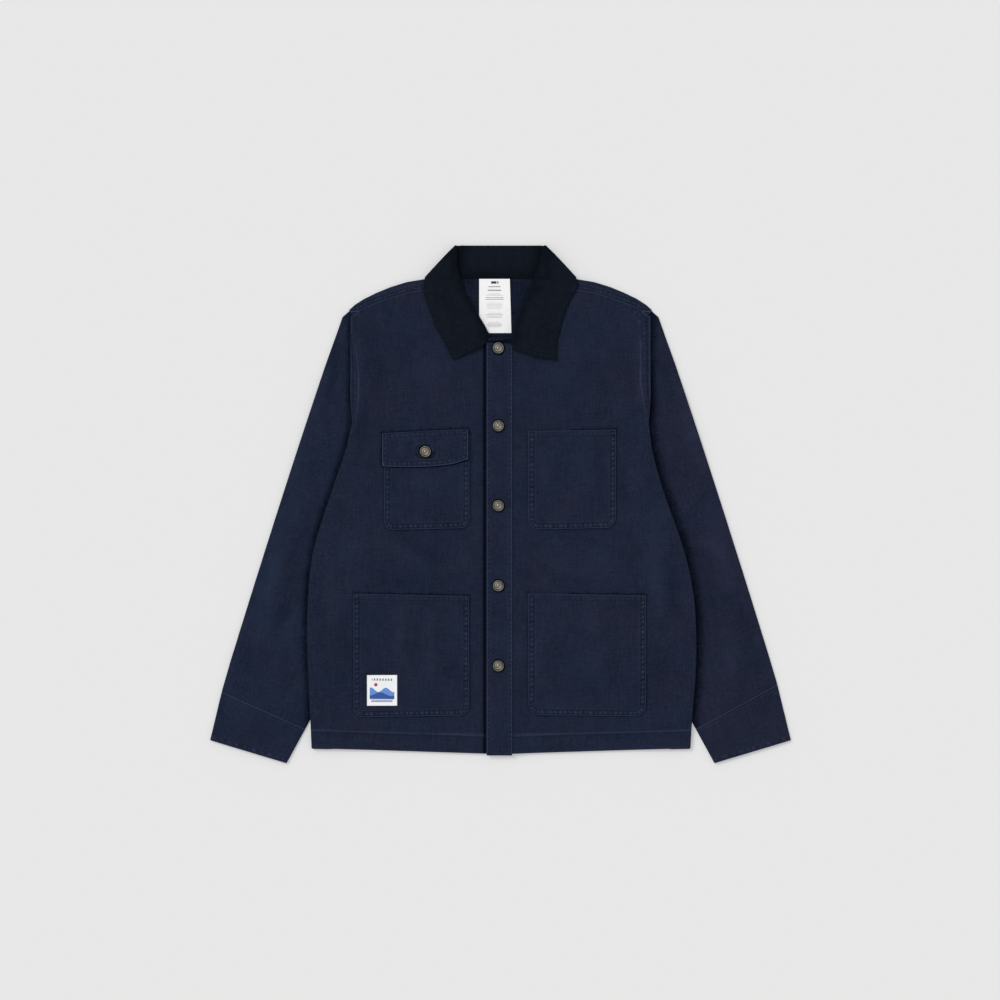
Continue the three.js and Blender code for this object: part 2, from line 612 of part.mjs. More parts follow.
// The collar's sections on one side, from the centre front round the shoulder's end to the centre back.
function collarHalf(side) {
  const mid = midOf[sideName(side)];
  const lying = CLOTH / 2 + LAY + COLLAR / 2; // the fall's middle above the cloth's middle
  const rows = COLLAR_FRONT[sideName(side)];
  const front = rows.map((row, k) => {
    const neck = besideNeck(row.share);
    const neckZ = mid(side * neck[0], neck[1]);
    const edgeZ = mid(side * row.edge[0], row.edge[1]) + lying;
    const radius = mix(ROLL_RADIUS.front, ROLL_RADIUS.back + 0.2, k / rows.length);
    const shape = { turn: radians(90), radius, outward: [0, 0], puff: COLLAR_PUFF };
    return collarSection(side, { ...row, neck, neckZ, edgeZ, rollZ: neckZ + 0.5 + radius, ...shape });
  });
  const { neck, roll, edge, outward } = COLLAR_CORNER;
  const neckHigh = mid(side * neck[0], neck[1]);
  const neckLow = COLLAR + LAY + COLLAR / 2;
  const edgeHigh = mid(side * edge[0], edge[1] - 4) + lying + 0.5;
  const edgeLow = COLLAR / 2;
  const rollLow = COLLAR + LAY / 2;
  const neckRadius = (neckHigh - neckLow) / 2;
  const edgeRadius = (edgeHigh - edgeLow) / 2;
  const corner = [90, 60, 30, 0, -30, -60, -90].map(radians).map((turn) => {
    const swing = Math.cos(turn) - 1;
    const slide = radians(90) - turn;
    const edgeX = edge[0] + edgeRadius * swing * 0.25 - slide * CORNER_DRIFT.edge[0];
    const edgeY = edge[1] + edgeRadius * swing * 0.95 - 1 - slide * CORNER_DRIFT.edge[1];
    return collarSection(side, {
      neck: [neck[0] + neckRadius * swing, neck[1] - slide * CORNER_DRIFT.neck],
      roll: [roll[0] + ROLL_RADIUS.back * swing * 0.5, roll[1]],
      edge: [edgeX, edgeY],
      neckZ: (neckHigh + neckLow) / 2 + neckRadius * Math.sin(turn),
      edgeZ: (edgeHigh + edgeLow) / 2 + edgeRadius * Math.sin(turn),
      rollZ: mix(rollLow, neckHigh + 0.3 + ROLL_RADIUS.back, (Math.sin(turn) + 1) / 2),
      turn,
      radius: ROLL_RADIUS.back,
      outward,
      puff: COLLAR_PUFF * Math.max(0, Math.sin(turn)),
    });
  });
  const folded = { turn: radians(-90), radius: (COLLAR + LAY) / 2, outward: [0, 0], puff: 0 };
  const levels = { neckZ: neckLow, edgeZ: edgeLow, rollZ: rollLow };
  const back = COLLAR_BACK.map((row) => collarSection(side, { ...row, ...levels, ...folded }));
  return [...front, ...corner, ...back];
}

function collar() {
  const sections = [...collarHalf(-1), ...collarHalf(1).slice(0, -1).reverse()];
  return wall(sections, () => half(COLLAR));
}

// Rectangle with round lower corners as a grid of places with their shares; slant lifts its right side.
function patchPlan({ left, right, top, bottom, round = 0, slant = 0 }, columns, rows) {
  const corner = round ? [0, 0.06, 0.25, 0.6].map((f) => (f * round) / (top - bottom)) : [];
  const vs = [...corner, ...even(rows).map((t) => mix(round / (top - bottom), 1, t))];
  return vs.map((v) => {
    const y = mix(bottom, top, v);
    const cut = round - Math.sqrt(round ** 2 - Math.max(0, round - (y - bottom)) ** 2);
    return even(columns).map((u) => {
      const x = mix(left + cut, right - cut, u);
      return { x, y: y + (slant * (x - (left + right) / 2)) / (right - left), u, v };
    });
  });
}

// A pocket's middle surface; its mouth stands open a little in the middle.
const pocketMid = (x, y, u, v) => {
  const mid = x < 0 ? frontMid : overMid;
  const mouth = POCKET_MOUTH * smooth(0.75, 1, v) * Math.sin(Math.PI * u);
  return mid(x, y) + CLOTH / 2 + POCKET_LAY + POCKET / 2 + mouth;
};

function pocket(name) {
  const plan = patchPlan(POCKETS[name], 9, 8);
  const rows = plan.map((row) => row.map((p) => V(p.x, p.y, pocketMid(p.x, p.y, p.u, p.v))));
  return wall(rows, () => half(POCKET));
}

const FLAP_RISE = CLOTH / 2 + POCKET_LAY + POCKET + POCKET_MOUTH + 0.2 + LAY + POCKET / 2;
const flapMid = (x, y) => frontMid(x, y) + FLAP_RISE;
// The flap's lower edge bows down in the middle, and its corner beside the band is pulled up and lifted.
function flap() {
  const rows = patchPlan(FLAP, 12, 5).map((row) =>
    row.map(({ x, y, u, v }) => {
      const low = 1 - v;
      const corner = smooth(0.8, 1, u) * low;
      const shift = FLAP_EDGE.cornerRise * corner - FLAP_EDGE.bow * low * Math.sin(Math.PI * u);
      return V(x, y + shift, flapMid(x, y) + FLAP_EDGE.cornerLift * corner);
    }),
  );
  return wall(rows, () => half(POCKET));
}

const bandMid = (x, y) => overMid(Math.min(x, 20), y) + CLOTH + LAY;
function frontBand() {
  const rows = even(22).map((t) =>
    even(3).map((s) => {
      const x = mix(BAND.edge, BAND.seam, s);
      const y = mix(BAND.bottom, BAND.top, t);
      return V(x, y, bandMid(x, y));
    }),
  );
  return wall(rows, () => half(CLOTH));
}

// A label: a sheet that lies on another surface.
function label(area, under, columns, rows) {
  const grid = patchPlan(area, columns, rows).map((row) =>
    row.map((p) => {
      const x = p.x + (area.flare ?? 0) * p.u * (1 - p.v);
      return V(x, p.y, under(x, p.y) + LAY + LABEL / 2);
    }),
  );
  return wall(grid, () => half(LABEL));
}

// Turned metal button: a domed head with a rolled rim and a raised middle, on a shank in its buttonhole.
function button(footZ, headZ) {
  const { radius, height, shank } = BUTTON;
  const profile = [
    [0, footZ - headZ],
    [shank, footZ - headZ],
    [shank, 0],
    [radius - 1, 0],
    [radius, 0.9],
    [radius, 2.2],
    [radius - 1.2, 3.4],
    [radius - 2.4, 2.6],
    [radius - 4.2, 2.8],
    [radius - 5.2, height],
    [0, height],
  ];
  const outline = profile.map(([x, y]) => new THREE.Vector2(x, y));
  return new THREE.LatheGeometry(outline, 18).rotateX(Math.PI / 2);
}

const wasm = await Module();
wasm.setup();
function solidOf(geometry) {
  const bare = new THREE.BufferGeometry().setAttribute("position", geometry.getAttribute("position"));
  if (geometry.index) bare.setIndex(geometry.index);
  const merged = mergeVertices(bare, 1e-4);
  const vertProperties = merged.attributes.position.array;
  const triVerts = new Uint32Array(merged.index.array);
  return new wasm.Manifold(new wasm.Mesh({ numProp: 3, vertProperties, triVerts }));
}
function geometryOf(solid) {
  const mesh = solid.getMesh();
  return new THREE.BufferGeometry()
    .setAttribute("position", new THREE.BufferAttribute(mesh.vertProperties.slice(), 3))
    .setIndex(new THREE.BufferAttribute(mesh.triVerts.slice(), 1));
}
// Cuts a buttonhole through cloth at each place.
function withButtonholes(geometry, places) {
  const { long, wide, deep } = BUTTONHOLE;
  const hole = ({ x, y }) => solidOf(new THREE.BoxGeometry(long, wide, deep).translate(x, y, 0));
  return geometryOf(places.reduce((cloth, place) => cloth.subtract(hole(place)), solidOf(geometry)));
}

const NAVY = 0x20263a;
const CORDUROY = 0x131922;
const BRASS = 0x8d8576;
const WHITE_TAPE = 0xe6e6e4;
function material(color, roughness, metalness = 0) {
  return new THREE.MeshStandardMaterial({ color, roughness, metalness });
}
const jacket = new THREE.Group();
function add(name, geometry, look) {
  const mesh = new THREE.Mesh(geometry, look);
  mesh.name = name;
  jacket.add(mesh);
  return mesh;
}

const twill = () => material(NAVY, 0.9);
const frontHoles = BUTTON.ys.map((y) => ({ x: BUTTON.x, y }));
add("back", backPanel(), twill());
add("front_right", frontPanel(-1, UNDER_EDGE), twill());
add("front_left", withButtonholes(frontPanel(1, OVER_EDGE), frontHoles), twill());
add("front_band", withButtonholes(frontBand(), frontHoles), twill());
for (const side of [-1, 1]) {
  add("sleeve_" + sideName(side), sleeve(side), twill());
  add("cuff_" + sideName(side), cuff(side), twill());
}
add("collar", collar(), material(CORDUROY, 0.95));
for (const name of Object.keys(POCKETS)) add(name, pocket(name), twill());
add("pocket_flap", withButtonholes(flap(), [FLAP_BUTTON]), twill());

// A button at a place, from the top of what it stands on to the top of the cloth that it passes through.
function addButton(name, { x, y }, foot, head) {
  add(name, button(foot + SEAM, head + LAY), material(BRASS, 0.4, 0.9)).position.set(x, y, head + LAY);
}
frontHoles.forEach((place, i) => {
  const foot = frontMid(place.x, place.y) + CLOTH / 2;
  addButton("button_" + (i + 1), place, foot, bandMid(place.x, place.y) + CLOTH / 2);
});
const pocketTop = pocketMid(FLAP_BUTTON.x, FLAP_BUTTON.y, 0.5, 0.82) + POCKET / 2;
addButton("button_flap", FLAP_BUTTON, pocketTop, flapMid(FLAP_BUTTON.x, FLAP_BUTTON.y) + POCKET / 2);

const insideBack = (x, y) => backMid(x, y) + CLOTH / 2;
const onHipPocket = (x, y) => pocketMid(x, y, 0.2, 0.2) + POCKET / 2;
add("neck_label", label(NECK_LABEL, insideBack, 4, 6), material(WHITE_TAPE, 0.8));
add("pocket_label", label(POCKET_LABEL, onHipPocket, 4, 4), material(WHITE_TAPE, 0.8));

export default jacket;
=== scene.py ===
"""A navy twill chore jacket with a corduroy collar, laid flat on its back on a pale floor."""

import math

import bmesh
import bpy
import numpy as np
from mathutils import Matrix, Vector, noise
from mathutils.bvhtree import BVHTree


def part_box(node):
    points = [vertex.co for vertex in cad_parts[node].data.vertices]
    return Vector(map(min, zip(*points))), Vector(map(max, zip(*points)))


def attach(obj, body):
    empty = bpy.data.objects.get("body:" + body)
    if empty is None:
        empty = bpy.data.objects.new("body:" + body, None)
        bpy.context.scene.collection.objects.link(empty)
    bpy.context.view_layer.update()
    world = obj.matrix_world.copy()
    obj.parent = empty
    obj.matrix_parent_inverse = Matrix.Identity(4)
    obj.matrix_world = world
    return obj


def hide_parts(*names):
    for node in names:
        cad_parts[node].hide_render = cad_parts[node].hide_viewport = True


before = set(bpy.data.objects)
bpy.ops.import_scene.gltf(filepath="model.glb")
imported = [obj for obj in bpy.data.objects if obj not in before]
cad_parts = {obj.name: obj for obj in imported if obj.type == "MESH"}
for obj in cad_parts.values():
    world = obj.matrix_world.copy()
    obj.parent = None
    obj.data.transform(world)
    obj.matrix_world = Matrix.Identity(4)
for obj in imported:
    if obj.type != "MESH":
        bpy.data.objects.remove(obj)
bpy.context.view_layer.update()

MM = 0.001

# Creases, in millimetres: x and y of the start and of the end, half the width, height (below 0 for a trough),
# and how far it bows.
FRONT_CREASES = [
    (-213, 268, -217, 120, 7, 0.9, 2),
    (-199, 275, -182, 150, 13, -0.8, 6),
    (-203, 172, -196, 28, 11, -0.6, -4),
    (-171, -20, -78, -96, 15, -0.8, -5),
    (-186, -34, -96, -106, 13, 1.0, -4),
    (-204, -113, -52, -118, 9, -0.8, -4),
    (-244, -150, -240, -322, 17, -0.7, 5),
    (-222, -20, -226, -120, 14, 0.8, 4),
    (-262, -60, -250, -200, 9, 0.7, 3),
    (-150, 238, -96, 160, 16, 0.7, 6),
    (-120, 262, -150, 176, 12, -0.6, -5),
    (-96, 196, -40, 130, 11, -0.5, 4),
    (-60, 40, -34, -60, 10, 0.6, 3),
    (-66, -60, -40, -112, 9, 0.5, 2),
    (236, 4, 244, -186, 15, 1.1, -8),
    (262, -40, 258, -170, 8, -0.7, -3),
    (232, -196, 246, -322, 13, -0.7, 3),
    (206, 260, 214, 126, 7, 0.8, -2),
    (192, 250, 196, 128, 8, -0.6, 4),
    (156, 188, 150, 122, 11, -0.6, 3),
    (182, 60, 186, -14, 8, -0.8, 3),
    (194, 66, 202, -30, 8, 0.7, 3),
    (92, 236, 168, 214, 12, 0.6, 4),
    (70, 196, 120, 150, 12, -0.5, -4),
    (36, -52, 170, -62, 13, -0.5, 5),
    (60, -92, 190, -84, 15, 0.7, -6),
    (70, 84, 66, 0, 8, 0.7, 3),
    (92, 78, 88, -10, 8, -0.5, -2),
    (124, 80, 128, 14, 9, 0.6, 2),
    (148, 96, 140, 52, 6, -0.5, 2),
    (58, -30, 80, -18, 5, -0.5, 1),
    (-150, -150, -156, -236, 9, 0.9, 3),
    (-132, -156, -128, -262, 10, -0.7, -3),
    (-104, -150, -112, -250, 8, 0.6, 2),
    (-76, -190, -84, -290, 9, -0.5, 2),
    (-60, -142, -56, -172, 6, -0.6, 1),
    (-214, -140, -204, -160, 6, -0.6, 1),
    (62, -168, 58, -280, 10, 0.6, -3),
    (120, -150, 150, -250, 13, 0.6, 5),
    (176, -176, 160, -292, 10, -0.5, 4),
    (208, -140, 192, -166, 8, -0.8, 2),
    (212, -308, 190, -292, 8, -0.6, 2),
    (50, -142, 62, -158, 6, -0.6, 1),
    (-166, 98, -160, 66, 4, -0.5, 1),
    (-150, 100, -146, 66, 4, 0.5, 1),
    (-136, 96, -130, 66, 4, -0.5, -1),
    (-92, 98, -88, 68, 5, 0.5, 1),
    (-160, 6, -136, -24, 8, -0.5, 3),
    (-140, 40, -90, 20, 12, 0.6, 3),
    (-258, -345, -60, -352, 6, -0.5, 2),
    (40, -346, 256, -348, 6, -0.6, -2),
    (230, -330, 268, -352, 9, -0.6, 2),
]
RIGHT_SLEEVE_CREASES = [
    (-262, 210, -316, 20, 13, 1.5, -6),
    (-312, 36, -372, -236, 17, 1.3, 7),
    (-306, -20, -336, -190, 10, -0.6, 5),
    (-340, 30, -396, -180, 9, -0.8, -4),
    (-244, 250, -262, 140, 7, -0.9, 3),
    (-300, -150, -340, -260, 9, 0.9, -4),
    (-396, -170, -410, -262, 8, 0.8, 3),
    (-286, 120, -256, 96, 8, 0.6, 3),
    (-330, -60, -292, -76, 8, 0.6, 3),
    (-352, -150, -310, -172, 9, -0.6, 3),
    (-356, -250, -400, -232, 8, -0.5, 3),
]
LEFT_SLEEVE_CREASES = [
    (266, 196, 306, 40, 12, 1.3, 5),
    (318, 30, 352, -150, 14, 1.2, -7),
    (306, -30, 328, -196, 10, -0.6, -5),
    (352, 30, 392, -160, 9, -0.8, 5),
    (246, 246, 256, 150, 7, -0.9, -3),
    (356, -140, 398, -262, 12, -0.9, -5),
    (334, -180, 350, -270, 9, 1.1, 4),
    (300, 116, 268, 92, 9, 0.6, 3),
    (292, -56, 338, -74, 9, 0.6, 3),
    (316, -152, 366, -132, 9, -0.6, 3),
    (372, -214, 402, -206, 7, 0.6, 2),
]
COLLAR_CREASES = [
    (-100, 300, -72, 238, 6, 0.6, 3),
    (-88, 330, -60, 262, 7, -0.5, 3),
    (-66, 282, -40, 244, 6, 0.5, 2),
    (96, 318, 74, 250, 7, 0.6, -3),
    (84, 280, 60, 236, 6, -0.5, 2),
    (58, 296, 44, 250, 6, 0.5, 2),
    (-40, 372, 44, 374, 5, 0.4, 2),
]
BACK_CREASES = [
    (-190, 306, -120, 332, 6, 0.5, 2),
    (196, 300, 128, 328, 6, 0.6, 2),
    (168, 306, 214, 276, 6, -0.5, 2),
    (-204, 286, -232, 262, 5, -0.5, 2),
    (-60, 330, -36, 300, 8, 0.5, 2),
    (50, 330, 30, 300, 8, -0.5, 2),
]
# The underside rests on the floor, so its creases only lift it.
UNDERSIDE_CREASES = [
    (-210, 250, -80, -40, 14, 0.6, 12),
    (190, 240, 60, 20, 13, 0.5, -9),
    (-150, -60, -40, -230, 15, 0.6, 8),
    (60, -90, 190, -280, 14, 0.6, -10),
    (-230, -150, -200, -330, 12, 0.5, 5),
    (10, 180, 30, -10, 11, 0.4, 6),
    (230, 60, 236, -160, 12, 0.5, -5),
]
# Places on the jacket, in plan millimetres from its middle.
BUTTON_X = -3.3
BUTTON_YS = [234.0, 117.5, -2.0, -122.0, -242.0]
BUTTONS_ON = {"front_band": [(BUTTON_X, y) for y in BUTTON_YS], "pocket_flap": [(-112.8, 79.5)]}
BUTTON_SHADOW_RADIUS = 9.5  # radius of the painted shadow that a button casts round its rim on the cloth
ARMHOLE_X = 222.5
ARMHOLE_FOOT_Y = 104
ARMHOLE_TIP_Y = 290
SHOULDER_FOOT_Y = 262
NECK_FOOT_Y = 254
BAND_GUTTER_X = -23.4  # where the right front sinks beside the band that covers its edge
UPPER_PLY_Z = 2  # a sleeve's or cuff's upper ply is above this height
# The shoulder seam is drawn together: how far each side of it moves, and how far from its edge.
SHOULDER_DRAWN = 0.45
SEAM_REACH = 1.2
# The flap's lower corners are worn nearly white.
WORN_CORNERS = [(-176.0, 60.5), (-50.0, 66.0)]
# The pieces that lie on a piece, beside whose edges shade is painted dark into its colour.
LIES_ON = {
    "front_right": ["chest_pocket_right", "pocket_flap", "hip_pocket_right"],
    "front_left": ["chest_pocket_left", "hip_pocket_left"],
    "chest_pocket_right": ["pocket_flap"],
}


# Meshes


def ramp(value, start, end):
    """Rises evenly from 0 at a start to 1 at an end, which may also be below the start."""
    return np.clip((value - start) / (end - start), 0, 1)


def bell(value, middle, width):
    """1 at a middle, fading to 0 beside it."""
    return np.exp(-(((value - middle) / width) ** 2))


def cad_form(node):
    """A CAD node's mesh. The right hip pocket's lower edge turns up at one end, as it was sewn on askew."""
    middle_x, width, turned_up = -133, 173, 7
    bm = bmesh.new()
    bm.from_mesh(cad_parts[node].data)
    bmesh.ops.remove_doubles(bm, verts=bm.verts, dist=1e-6)
    if node == "hip_pocket_right":
        for vert in bm.verts:
            share = ramp(vert.co.y / MM, -240, -310) * (vert.co.x / MM - middle_x) / width
            vert.co.y += share * turned_up * MM
    return bm


def cloth_form(node, grid, fine, shown=lambda x, y, z: True, under_grid=None):
    """A closed mesh on a CAD node's form, with rounded edges, and fine where the node is sewn or lain on."""
    bm = cad_form(node)
    bmesh.ops.join_triangles(
        bm, faces=bm.faces, angle_face_threshold=math.radians(40), angle_shape_threshold=math.radians(120)
    )
    bm.normal_update()
    beside = 3  # how far the fine mesh reaches to each side of a seam or an edge
    rims = [e for e in bm.edges if e.is_manifold and e.calc_face_angle() > math.radians(60)]
    bmesh.ops.bevel(
        bm,
        geom=rims,
        offset=0.4 * MM,
        segments=2,
        profile=0.5,
        material=-1,
        affect="EDGES",
        clamp_overlap=True,
    )
    most_halvings = 8
    for halving in range(most_halvings):
        bm.normal_update()
        rising = [e for e in bm.edges if any(face.normal.z > 0.3 for face in e.link_faces)]
        middles = [(e.verts[0].co + e.verts[1].co) / (2 * MM) for e in rising]
        x = np.array([middle.x for middle in middles])
        y = np.array([middle.y for middle in middles])
        z = np.array([middle.z for middle in middles])
        limits = np.full(x.shape, grid)
        for other in LIES_ON.get(node, []):
            gap, _ = near_edge(x, y, runs[other], all_round)
            limits = np.where(gap < beside, fine, limits)
        for button_x, button_y in BUTTONS_ON.get(node, []):
            ring = np.hypot(x - button_x, y - button_y) - BUTTON_SHADOW_RADIUS
            limits = np.where(np.abs(ring) < beside, fine, limits)
        for seam in SEAMS.get(node, []):
            gap, _ = near_edge(x, y, runs[node], seam["keep"])
            # A deep hem is flat between its edge and its row of stitches.
            first = 0 if seam["deep"] < 12 else seam["deep"] - beside
            limits = np.where((gap > first - 0.5) & (gap < seam["deep"] + beside), fine, limits)
        limits = np.where(shown(x, y, z), limits, under_grid or math.inf)
        long_edges = [e for e, limit in zip(rising, limits) if e.calc_length() > limit * MM]
        if under_grid:
            chosen = set(long_edges)
            others = [e for e in bm.edges if e not in chosen and e.calc_length() > under_grid * MM]
            long_edges += [e for e in others if all(face.normal.z < 0.3 for face in e.link_faces)]
        if not long_edges:
            break
        bmesh.ops.subdivide_edges(bm, edges=long_edges, cuts=1, use_grid_fill=True)
    bm.normal_update()
    level = [v for v in bm.verts if all(abs(f.normal.z) > 0.85 for f in v.link_faces)]
    for softening in range(40):
        bmesh.ops.smooth_vert(bm, verts=level, factor=0.5, use_axis_z=True)
    return bm


def in_scene(name, data):
    made = bpy.data.objects.new(name, data)
    bpy.context.scene.collection.objects.link(made)
    return made


def mesh_object(name, bm, material):
    mesh = bpy.data.meshes.new(name)
    bm.to_mesh(mesh)
    bm.free()
    mesh.materials.append(material)
    return in_scene(name, mesh)


def as_piece(name, bm, material, node=None):
    """A mesh object that rides on the jacket, and stands for a CAD node where one is named."""
    piece = mesh_object(name, bm, material)
    piece.data.shade_smooth()
    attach(piece, "root")
    if node:
        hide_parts(node)
    return piece


def outline(node):
    """The upper edges of a CAD node, as closed runs of plan millimetres with the cloth on their left."""
    bm = cad_form(node)
    bm.normal_update()
    follows = {}
    for edge in bm.edges:
        tops = [f for f in edge.link_faces if f.normal.z > 0.45]
        if len(tops) == 1 and len(edge.link_faces) == 2:
            loop = next(corner for corner in tops[0].loops if corner.edge == edge)
            follows.setdefault(loop.vert.index, []).append(loop.link_loop_next.vert.index)
    places = {v.index: (v.co.x / MM, v.co.y / MM) for v in bm.verts}
    bm.free()
    runs = []
    while follows:
        start = next(iter(follows))
        run, at = [], start
        while at in follows:
            ahead = follows[at].pop()
            if not follows[at]:
                del follows[at]
            run.append(places[at])
            at = ahead
            if at == start:
                break
        runs.append(run)
    return runs


def steps(outlines, keep):
    """The kept straight steps of an outline: start, end, direction, length, and the length before each."""
    kept = []
    for run in outlines:
        passed = 0.0
        for (ax, ay), (bx, by) in zip(run, run[1:] + run[:1]):
            length = math.dist((ax, ay), (bx, by))
            if length > 1e-6 and keep((ax + bx) / 2, (ay + by) / 2, (bx - ax) / length, (by - ay) / length):
                kept.append((ax, ay, (bx - ax) / length, (by - ay) / length, length, passed))
            passed += length
    return kept


def near_edge(x, y, outlines, keep):
    """How far plan points are from the kept part of an outline, and how far along it."""
    nearest = np.full(x.shape, 1e6)
    along = np.zeros(x.shape)
    for ax, ay, dx, dy, length, passed in steps(outlines, keep):
        run_on = np.clip((x - ax) * dx + (y - ay) * dy, 0, length)
        gap = np.hypot(x - ax - run_on * dx, y - ay - run_on * dy)
        closer = gap < nearest
        nearest = np.where(closer, gap, nearest)
        along = np.where(closer, passed + run_on, along)
    return nearest, along


# Relief


def crease_height(x, y, creases):
    """The height in millimetres that the creases add at plan points."""
    total = np.zeros(x.shape)
    for order, (ax, ay, bx, by, half_width, height, bow) in enumerate(creases):
        length = math.dist((ax, ay), (bx, by))
        ux, uy = (bx - ax) / length, (by - ay) / length
        share = ((x - ax) * ux + (y - ay) * uy) / length
        sway = bow * np.sin(np.clip(share, 0, 1) * math.pi) + 0.12 * half_width * np.sin(share * 7 + order)
        across = (y - ay) * ux - (x - ax) * uy - sway
        fade = np.clip(1 - np.abs(2 * share - 1) ** 3, 0, 1)
        uneven = 1 + 0.3 * np.sin(share * 9 + 2.3 * order)
        width = half_width * (0.8 + 0.35 * np.sin(np.clip(share, 0, 1) * math.pi + 0.4 * order % 1))
        total += height * fade * uneven * np.exp(-((across / width) ** 2))
    return total


def rumple(x, y, seed, coarse=0.3, fine=0.1):
    """The low unevenness of washed cloth, in millimetres: coarse swells and fine ones."""
    high = []
    for px, py in zip(x.tolist(), y.tolist()):
        swell = noise.noise(Vector((px / 34, py / 46, seed)))
        dimple = noise.noise(Vector((px / 11, py / 13, seed + 5)))
        high.append(coarse * swell + fine * dimple)
    return np.array(high)


def puckers(along, across, pitch):
    """Uneven waves along a seam, from -1 to 1."""
    place = (along + 0.2 * across) * 2 * math.pi / pitch
    waves = 0.9 * np.sin(place) + 0.45 * np.sin(0.37 * place + 1.3) + 0.35 * np.sin(1.61 * place + 0.4)
    return np.clip(waves, -1, 1)


def lift(piece, change):
    """Moves a piece's points by change(x, y, z, up), in millimetres, and stores the faded wear and painted
    shade that it gives them.
    """
    mesh = piece.data
    count = len(mesh.vertices)
    places = np.empty(count * 3)
    normals = np.empty(count * 3)
    mesh.vertices.foreach_get("co", places)
    mesh.vertices.foreach_get("normal", normals)
    places = places.reshape(-1, 3)
    height, wear_and_shade, shift = change(*(places.T / MM), normals.reshape(-1, 3)[:, 2])
    places[:, :2] += np.broadcast_to(np.transpose(shift), (count, 2)) * MM
    places[:, 2] = np.maximum(places[:, 2] + height * MM, 0)
    mesh.vertices.foreach_set("co", places.ravel())
    mesh.attributes.new("wear_and_shade", "FLOAT", "POINT").data.foreach_set("value", wear_and_shade.astype(np.float32))
    mesh.update()


def armhole_width(x, y):
    """The armhole's seam allowance, as a share of its full width: it narrows otherwise on each side."""
    right = np.sin(math.pi * ramp(y, 100, 260)) ** 0.8
    left = 1.25 * ramp(y, 100, 180)
    return np.maximum(np.where(x < 0, right, left), 0.15)


def settled(height, z, up):
    """Lets a ply's underside only sink with its top, and leaves what lies on the floor as it is."""
    return np.where(z > UPPER_PLY_Z, np.where(up > 0, height, sunk(height)), 0)


def sunk(height):
    """How far a wall's underside moves, so that the wall stays closed where its top sinks."""
    return np.minimum(height, 0) - 0.3


def seam_relief(x, y, outlines, seams):
    """The height that sewn edges add, and how far they have faded: above 0 faded, below 0 still dark."""
    height = np.zeros(x.shape)
    wear_and_shade = np.zeros(x.shape)
    for seam in seams:
        rows, deep, fade = seam["rows"], seam["deep"], seam.get("fade", 1.0)
        gap, along = near_edge(x, y, outlines, seam["keep"])
        if "width" in seam:
            gap = gap / seam["width"](x, y)
        waves = puckers(along, gap, seam.get("pitch", 7.5))
        first = rows[0] if len(rows) > 1 else 0.35 * rows[0]
        swell = bell(gap, (first + rows[-1]) / 2, max((rows[-1] - first) / 3, 1.2))
        height += 0.3 * ramp(gap, deep + 1.2, deep - 0.4)
        height += seam.get("wave", 0.2) * swell * waves
        wear_and_shade += seam.get("spots", fade) * swell * (0.15 + np.where(waves > 0, 1.0, 0.5) * waves)
        for row in rows:
            height -= 0.2 * bell(gap, row, 0.8)
            wear_and_shade -= 0.8 * fade * bell(gap, row + 0.15, 0.8)
        wear_and_shade += seam.get("edge", 1.0) * bell(gap, 0.3, 0.8)
        wear_and_shade += seam.get("inner", 0.3) * fade * bell(gap, rows[-1] + 1.7, 1.0)
    return height, wear_and_shade


def armhole_lap(x, y):
    """How far the seam allowance lifts the body's edge over the sleeve, and how far it reaches out."""
    inside = np.clip(1 - (ARMHOLE_X - np.abs(x)) / 9, 0, 1.4) * (np.abs(x) > 200)
    share = inside * ramp(y, 122, 162) * ramp(y, 293, 287)
    return 1.5 * np.minimum(share, 1), np.sign(x) * 2.8 * share


def from_neck(x, y):
    """How far outside the neck a plan point lies. The neck widens as it goes up."""
    return np.abs(x) - 0.45 * (y - NECK_FOOT_Y)


# Which part of an outline a seam follows: x, y in millimetres and the run's direction there.
def all_round(x, y, dx, dy):
    return True


def top_edge(x, y, dx, dy):
    return dx < -0.8


def sides_and_bottom(x, y, dx, dy):
    return not top_edge(x, y, dx, dy)


def upright(x, y, dx, dy):
    return abs(dy) > 0.8


def bottom_edge(x, y, dx, dy):
    return dx > 0.8


def armhole(x, y, dx, dy):
    return abs(dy) > 0.5 and abs(x) > 195 and ARMHOLE_FOOT_Y < y < ARMHOLE_TIP_Y


def shoulder(x, y, dx, dy):
    return dx > 0.7 and y > SHOULDER_FOOT_Y and abs(x) > 60


def front_shoulder(x, y, dx, dy):
    return dx < -0.7 and y > SHOULDER_FOOT_Y


def over_sleeve(x, y, dx, dy):
    return abs(dy) > 0.3 and abs(x) > 195 and y < 286


def collar_edge(x, y, dx, dy):
    return y < 249 or (from_neck(x, y) > 60 and y < 330)


def collar_roll(x, y, dx, dy):
    return from_neck(x, y) < 26 and 250 < y < 386


def hem(x, y, dx, dy):
    return dx > 0.8 and y < -350


def sewn(keep, deep, *rows, **looks):
    """A seam: which edge it follows, how deep its doubled cloth is, and where its rows of stitches are.

    wave is its puckers' height and pitch their length, in millimetres like the depth and the rows. The other
    looks say how far a part of it has faded: fade beside the rows, spots on the puckers, edge on the edge
    itself, and inner beyond the last row.
    """
    return {"keep": keep, "deep": deep, "rows": rows, **looks}


